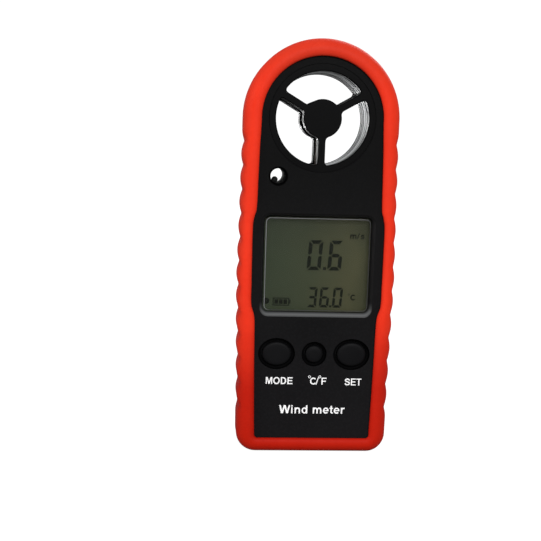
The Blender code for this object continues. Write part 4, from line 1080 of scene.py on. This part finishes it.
def glyph(ink, c, x, z, k, heavy=1.0, squeeze=1.0):
    """One sans-serif letter of capital height k with its origin at x, z; heavy scales the strokes, squeeze the widths."""
    w = 0.2 * heavy
    b = 0.168 * heavy

    def at(points):
        return [(x + px * k * squeeze, z + pz * k) for px, pz in points]

    def rect(x0, x1, z0, z1):
        ink.polygon(at([(x0, z0), (x1, z0), (x1, z1), (x0, z1)]))

    def stroke(points, width=w):
        ink.stroke(at(points), width * k)

    def ring(cx, cy, rx, ry, t, squeeze=0.88):
        ink.band(at(ellipse(cx, cy, rx, ry)[:-1]), at(ellipse(cx, cy, rx - t, ry - t * squeeze)[:-1]), True)

    if c == "M":
        ink.polygon(at([(0.10, 0), (0.10, 1), (0.10 + 1.43 * w, 1), (0.5815, 0.318), (1.063 - 1.43 * w, 1), (1.063, 1), (1.063, 0), (1.063 - 0.9 * w, 0), (1.063 - 0.9 * w, 0.79),
                        (0.5815 + 0.46 * w, 0), (0.5815 - 0.46 * w, 0), (0.10 + 0.9 * w, 0.79), (0.10 + 0.9 * w, 0)]))
    elif c == "W":
        ink.polygon(at([(0.24, 0), (0.0, 1), (1.03 * w, 1), (0.357, 0.32), (0.54, 1), (0.778, 1), (0.955, 0.32), (1.318 - 1.03 * w, 1), (1.318, 1), (1.072, 0), (0.845, 0), (0.659, 0.72), (0.466, 0)]))
    elif c == "O":
        ring(0.5435, 0.5, 0.49, 0.517, w * 1.03)
    elif c == "D":
        outer = [(0.10, 0), (0.10, 0.5), (0.10, 1)] + ellipse(0.46, 0.5, 0.47, 0.5, 90, -90, 24)
        inner = [(0.10 + w, b), (0.10 + w, 0.5), (0.10 + w, 1 - b)] + ellipse(0.44, 0.5, 0.28, 0.5 - b, 90, -90, 24)
        ink.band(at(outer), at(inner), True)
    elif c == "E":
        rect(0.10, 0.10 + w, 0, 1)
        for z0, x1 in ((0, 0.87), (0.5 - b * 0.42, 0.81), (1 - b, 0.85)):
            rect(0.10 + w * 0.9, x1, z0, z0 + b)
    elif c == "F":
        rect(0.10, 0.10 + w, 0, 1)
        for z0, x1 in ((0.5 - b * 0.6, 0.74), (1 - b, 0.81)):
            rect(0.10 + w * 0.9, x1, z0, z0 + b)
    elif c == "T":
        rect(0.03, 0.825, 1 - b, 1)
        rect(0.427 - w / 2, 0.427 + w / 2, 0, 1 - b * 0.9)
    elif c == "C":
        stroke(ellipse(0.52, 0.5, 0.375, 0.425, 40, 322, 40))
    elif c == "S":
        stroke(spline([(0.77, 0.69), (0.70, 0.85), (0.465, 0.925), (0.235, 0.86), (0.165, 0.72), (0.25, 0.60), (0.46, 0.53), (0.70, 0.45), (0.785, 0.29), (0.69, 0.13), (0.46, 0.075), (0.22, 0.14), (0.125, 0.33)]), w * 0.94)
    elif c == "s":
        stroke(spline([(0.60, 0.53), (0.53, 0.62), (0.36, 0.66), (0.20, 0.61), (0.16, 0.53), (0.22, 0.44), (0.37, 0.385), (0.54, 0.33), (0.60, 0.22), (0.53, 0.11), (0.36, 0.07), (0.19, 0.11), (0.11, 0.22)]), w * 0.8)
    elif c == "i":
        rect(0.10, 0.10 + 0.93 * w, 0, 0.725)
        rect(0.10, 0.10 + 0.93 * w, 0.83, 1.0)
    elif c in "nm":
        s = 0.93 * w
        rect(0.09, 0.09 + s, 0, 0.725)
        if c == "n":
            stroke(spline([(0.20, 0.42), (0.26, 0.575), (0.43, 0.65), (0.60, 0.585), (0.665, 0.42)]) + [(0.665, 0.25), (0.665, 0.0)], s)
        else:
            stroke(spline([(0.20, 0.44), (0.25, 0.585), (0.39, 0.65), (0.55, 0.59), (0.61, 0.42)]) + [(0.61, 0.25), (0.61, 0.0)], s)
            stroke(spline([(0.62, 0.44), (0.68, 0.585), (0.83, 0.65), (0.99, 0.59), (1.055, 0.42)]) + [(1.055, 0.25), (1.055, 0.0)], s)
    elif c == "d":
        ring(0.385, 0.362, 0.335, 0.378, w * 0.93, 0.85)
        rect(0.57, 0.57 + 0.93 * w, 0, 1)
    elif c == "e":
        stroke(ellipse(0.39, 0.362, 0.262, 0.295, 2, 318, 36), w * 0.88)
        rect(0.14, 0.72, 0.305, 0.305 + b * 0.74)
    elif c == "t":
        rect(0.02, 0.44, 0.60, 0.725)
        stroke([(0.22, 0.95), (0.22, 0.6)] + spline([(0.22, 0.35), (0.22, 0.2), (0.28, 0.095), (0.44, 0.08)]), w * 0.93)
    elif c == "r":
        rect(0.09, 0.09 + 0.93 * w, 0, 0.725)
        stroke(spline([(0.19, 0.40), (0.24, 0.56), (0.36, 0.645), (0.53, 0.64)]), w * 0.85)
    elif c == "/":
        stroke([(0.08, -0.03), (0.42, 1.03)], w * 0.7)
    elif c == "°":
        ring(0.10, 1.02, 0.19, 0.19, 0.075, 1.0)


def words(ink, text, x, z, k, heavy=1.0, gap=0.0, squeeze=1.0):
    """Text centred on x, its baseline at z, with capitals k high."""
    total = sum(WIDTHS[c] + gap for c in text) - gap
    pen = x - total * k * squeeze / 2
    for c in text:
        glyph(ink, c, pen, z, k, heavy, squeeze)
        pen += (WIDTHS[c] + gap) * k * squeeze


def build_display():
    ink = Ink(-4.325, -4.36)
    for outline in seven("0", -2.45, 47.45, 3.60, 7.68, 0.94) + seven("6", 2.85, 47.45, 3.50, 7.68, 0.94):
        ink.polygon(outline)
    ink.polygon([(1.76, 47.5), (2.54, 47.5), (2.59, 48.28), (1.81, 48.28)])
    ink.done("reading_speed", INK)
    ink = Ink(-4.325, -4.36)
    for outline in seven("3", -2.13, 37.86, 2.43, 5.20, 0.64) + seven("6", 1.04, 37.86, 2.43, 5.20, 0.64) + seven("0", 4.41, 37.86, 2.43, 5.20, 0.64):
        ink.polygon(outline)
    ink.polygon([(3.74, 37.9), (4.26, 37.9), (4.28, 38.42), (3.76, 38.42)])
    ink.done("reading_temperature", INK)
    ink = Ink(-4.325, -4.36)
    words(ink, "m/s", 10.22, 55.68, 1.5, 1.05)
    ink.done("unit_speed", INK)
    ink = Ink(-4.325, -4.36)
    words(ink, "°C", 9.55, 39.85, 1.45, 1.05, 0.06)
    ink.done("unit_degree", INK)
    ink = Ink(-4.325, -4.36)
    for x0, x1, z0, z1 in ((-10.8, -10.56, 38.16, 40.2), (-6.8, -6.56, 38.16, 40.2), (-10.56, -6.8, 39.96, 40.2), (-10.56, -6.8, 38.16, 38.4), (-6.56, -6.25, 38.72, 39.64)):
        ink.polygon([(x0, z0), (x1, z0), (x1, z1), (x0, z1)])
    for k in range(3):
        ink.polygon([(-10.34 + 1.16 * k, 38.6), (-9.4 + 1.16 * k, 38.6), (-9.4 + 1.16 * k, 39.76), (-10.34 + 1.16 * k, 39.76)])
    ink.polygon(oval(-12.45, 39.35, 0.80, 0.80, 32))
    ink.done("battery_sign", INK)


build_display()


# ------------------------------------------------------------------ keys and labels
def build_key(n, x, z, rx, rz):
    """A soft key: rounded shoulder, slightly domed top, flange and stem behind."""
    def ring(d):
        return oval(x, z, rx + d, rz + d, 96)
    levels = [(ring(0.75), -4.65), (ring(0.75), -5.3), (ring(0.02), -5.32), (ring(0.0), -6.6), (ring(-0.02), -6.85), (ring(-0.10), -7.02),
              (ring(-0.24), -7.14), (ring(-0.44), -7.21), (ring(-0.75), -7.25)]
    levels += [(oval(x, z, rx * f, rz * f, 96), y) for f, y in ((0.62, -7.275), (0.4, -7.29), (0.18, -7.298))]
    key = rings(f"{n}_keycap", levels, KEYCAP)
    add(key, turned("stem", ((0.0, -4.9), (1.2, -4.9), (1.2, -3.3), (1.1, -3.2), (0.0, -3.2)), x, z, 32))
    settle(key, f"{n}_key", f"{n}_button", 35)


for spec in KEYS:
    build_key(*spec)


def build_labels():
    depth = (-FACE_Y + 0.02, -FACE_Y - 0.025)
    ink = Ink(*depth)
    words(ink, "MODE", -8.74, 18.32, 1.80, 0.88, 0.0, 0.945)
    ink.done("label_mode", LABEL)
    ink = Ink(*depth)
    k = 1.80
    for c, dx in (("°", 0.0), ("C", 0.14), ("/", 0.96), ("°", 1.47), ("F", 1.73)):
        glyph(ink, c, -1.15 + dx * k, 18.3 + (0.10 * k if c == "°" else 0), k, 0.88)
    ink.done("label_unit", LABEL)
    ink = Ink(*depth)
    words(ink, "SET", 10.28, 18.17, 1.80, 0.88, 0.0, 0.90)
    ink.done("label_set", LABEL)
    ink = Ink(*depth)
    words(ink, "Wind meter", -0.04, 10.62, 2.15, 0.9, 0.03)
    ink.done("label_title", LABEL)


build_labels()


# ------------------------------------------------------------------ battery door and screws
def build_door():
    r = DOOR_R
    profile = [(0.0, 5.6), (r, 5.6), (r, 6.75), (r - 0.06, 6.92), (r - 0.18, 7.05), (r - 0.36, 7.1), (10.2, 7.1), (10.1, 7.06), (10.0, 6.96), (9.8, 6.92),
               (9.6, 6.96), (9.5, 7.06), (9.4, 7.1), (0.0, 7.1)]
    door = turned("battery_lid_disc", profile, 0, DOOR_Z, 139, BLACK)
    add(door, joined(*[plate("lug", sector(r - 0.6, LUG_R, 90 + 120 * k, 90 + 120 * k + LUG_DEG, 9), 5.72, 6.25) for k in range(3)]))
    slot = round_rect(-7.0, 7.0, DOOR_Z - 0.95, DOOR_Z + 0.95, 0.9, 10)
    levels = [(slot, 6.4), (slot, 6.85), (offset(slot, 0.06), 7.0), (offset(slot, 0.34), 7.22), (offset(slot, 0.34), 8.5)]
    cut(door, rings("slot", levels))
    settle(door, "battery_lid", "battery_door", 28)


build_door()


def build_screw(i, x, z):
    profile = [(0.0, -4.7), (0.5, -4.7), (0.8, -3.9), (0.8, 5.5), (1.85, 5.5), (1.9, 5.58), (1.9, 6.1), (1.82, 6.3), (1.6, 6.52), (1.25, 6.7), (0.7, 6.82), (0.0, 6.85)]
    screw = turned(f"screw_{i + 1}", profile, x, z, 48, STEEL)
    a = rings("slot_a", [(round_rect(x - 0.7, x + 0.7, z - 0.16, z + 0.16, 0.15, 3), 6.12), (round_rect(x - 1.05, x + 1.05, z - 0.24, z + 0.24, 0.2, 3), 7.5)])
    b = rings("slot_b", [(round_rect(x - 0.16, x + 0.16, z - 0.7, z + 0.7, 0.15, 3), 6.10), (round_rect(x - 0.24, x + 0.24, z - 1.05, z + 1.05, 0.2, 3), 7.6)])
    cut(screw, a, b)
    settle(screw, "root", f"case_screw_{i + 1}", 30)


for i, (x, z) in enumerate(BOSSES):
    build_screw(i, x, z)

# ------------------------------------------------------------------ CAD pieces that stay
STAY = {
    "impeller_shaft": STEEL, "impeller_magnet": MAGNET, "front_bearing": BRASS, "rear_bearing": BRASS, "hall_sensor": CHIP,
    "sensor_ribbon": RIBBON, "ribbon_connector": WHITE, "thermistor_lead_a": STEEL, "thermistor_lead_b": STEEL,
    "lcd_panel": LCD, "lcd_frame": BLACK, "backlight_plate": WHITE, "contact_strip_upper": SEAL, "contact_strip_lower": SEAL,
    "main_board": BOARD, "microcontroller": CHIP, "crystal_can": STEEL, "supply_capacitor": MAGNET,
    "mode_plunger": CHIP, "unit_plunger": CHIP, "set_plunger": CHIP, "mode_switch": STEEL, "unit_switch": STEEL, "set_switch": STEEL,
    "coin_cell": STEEL, "battery_contact_negative": STEEL, "battery_contact_positive": STEEL, "battery_door_seal": SEAL,
}
for name, mat in STAY.items():
    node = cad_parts[name]
    node.data.materials.clear()
    node.data.materials.append(mat)
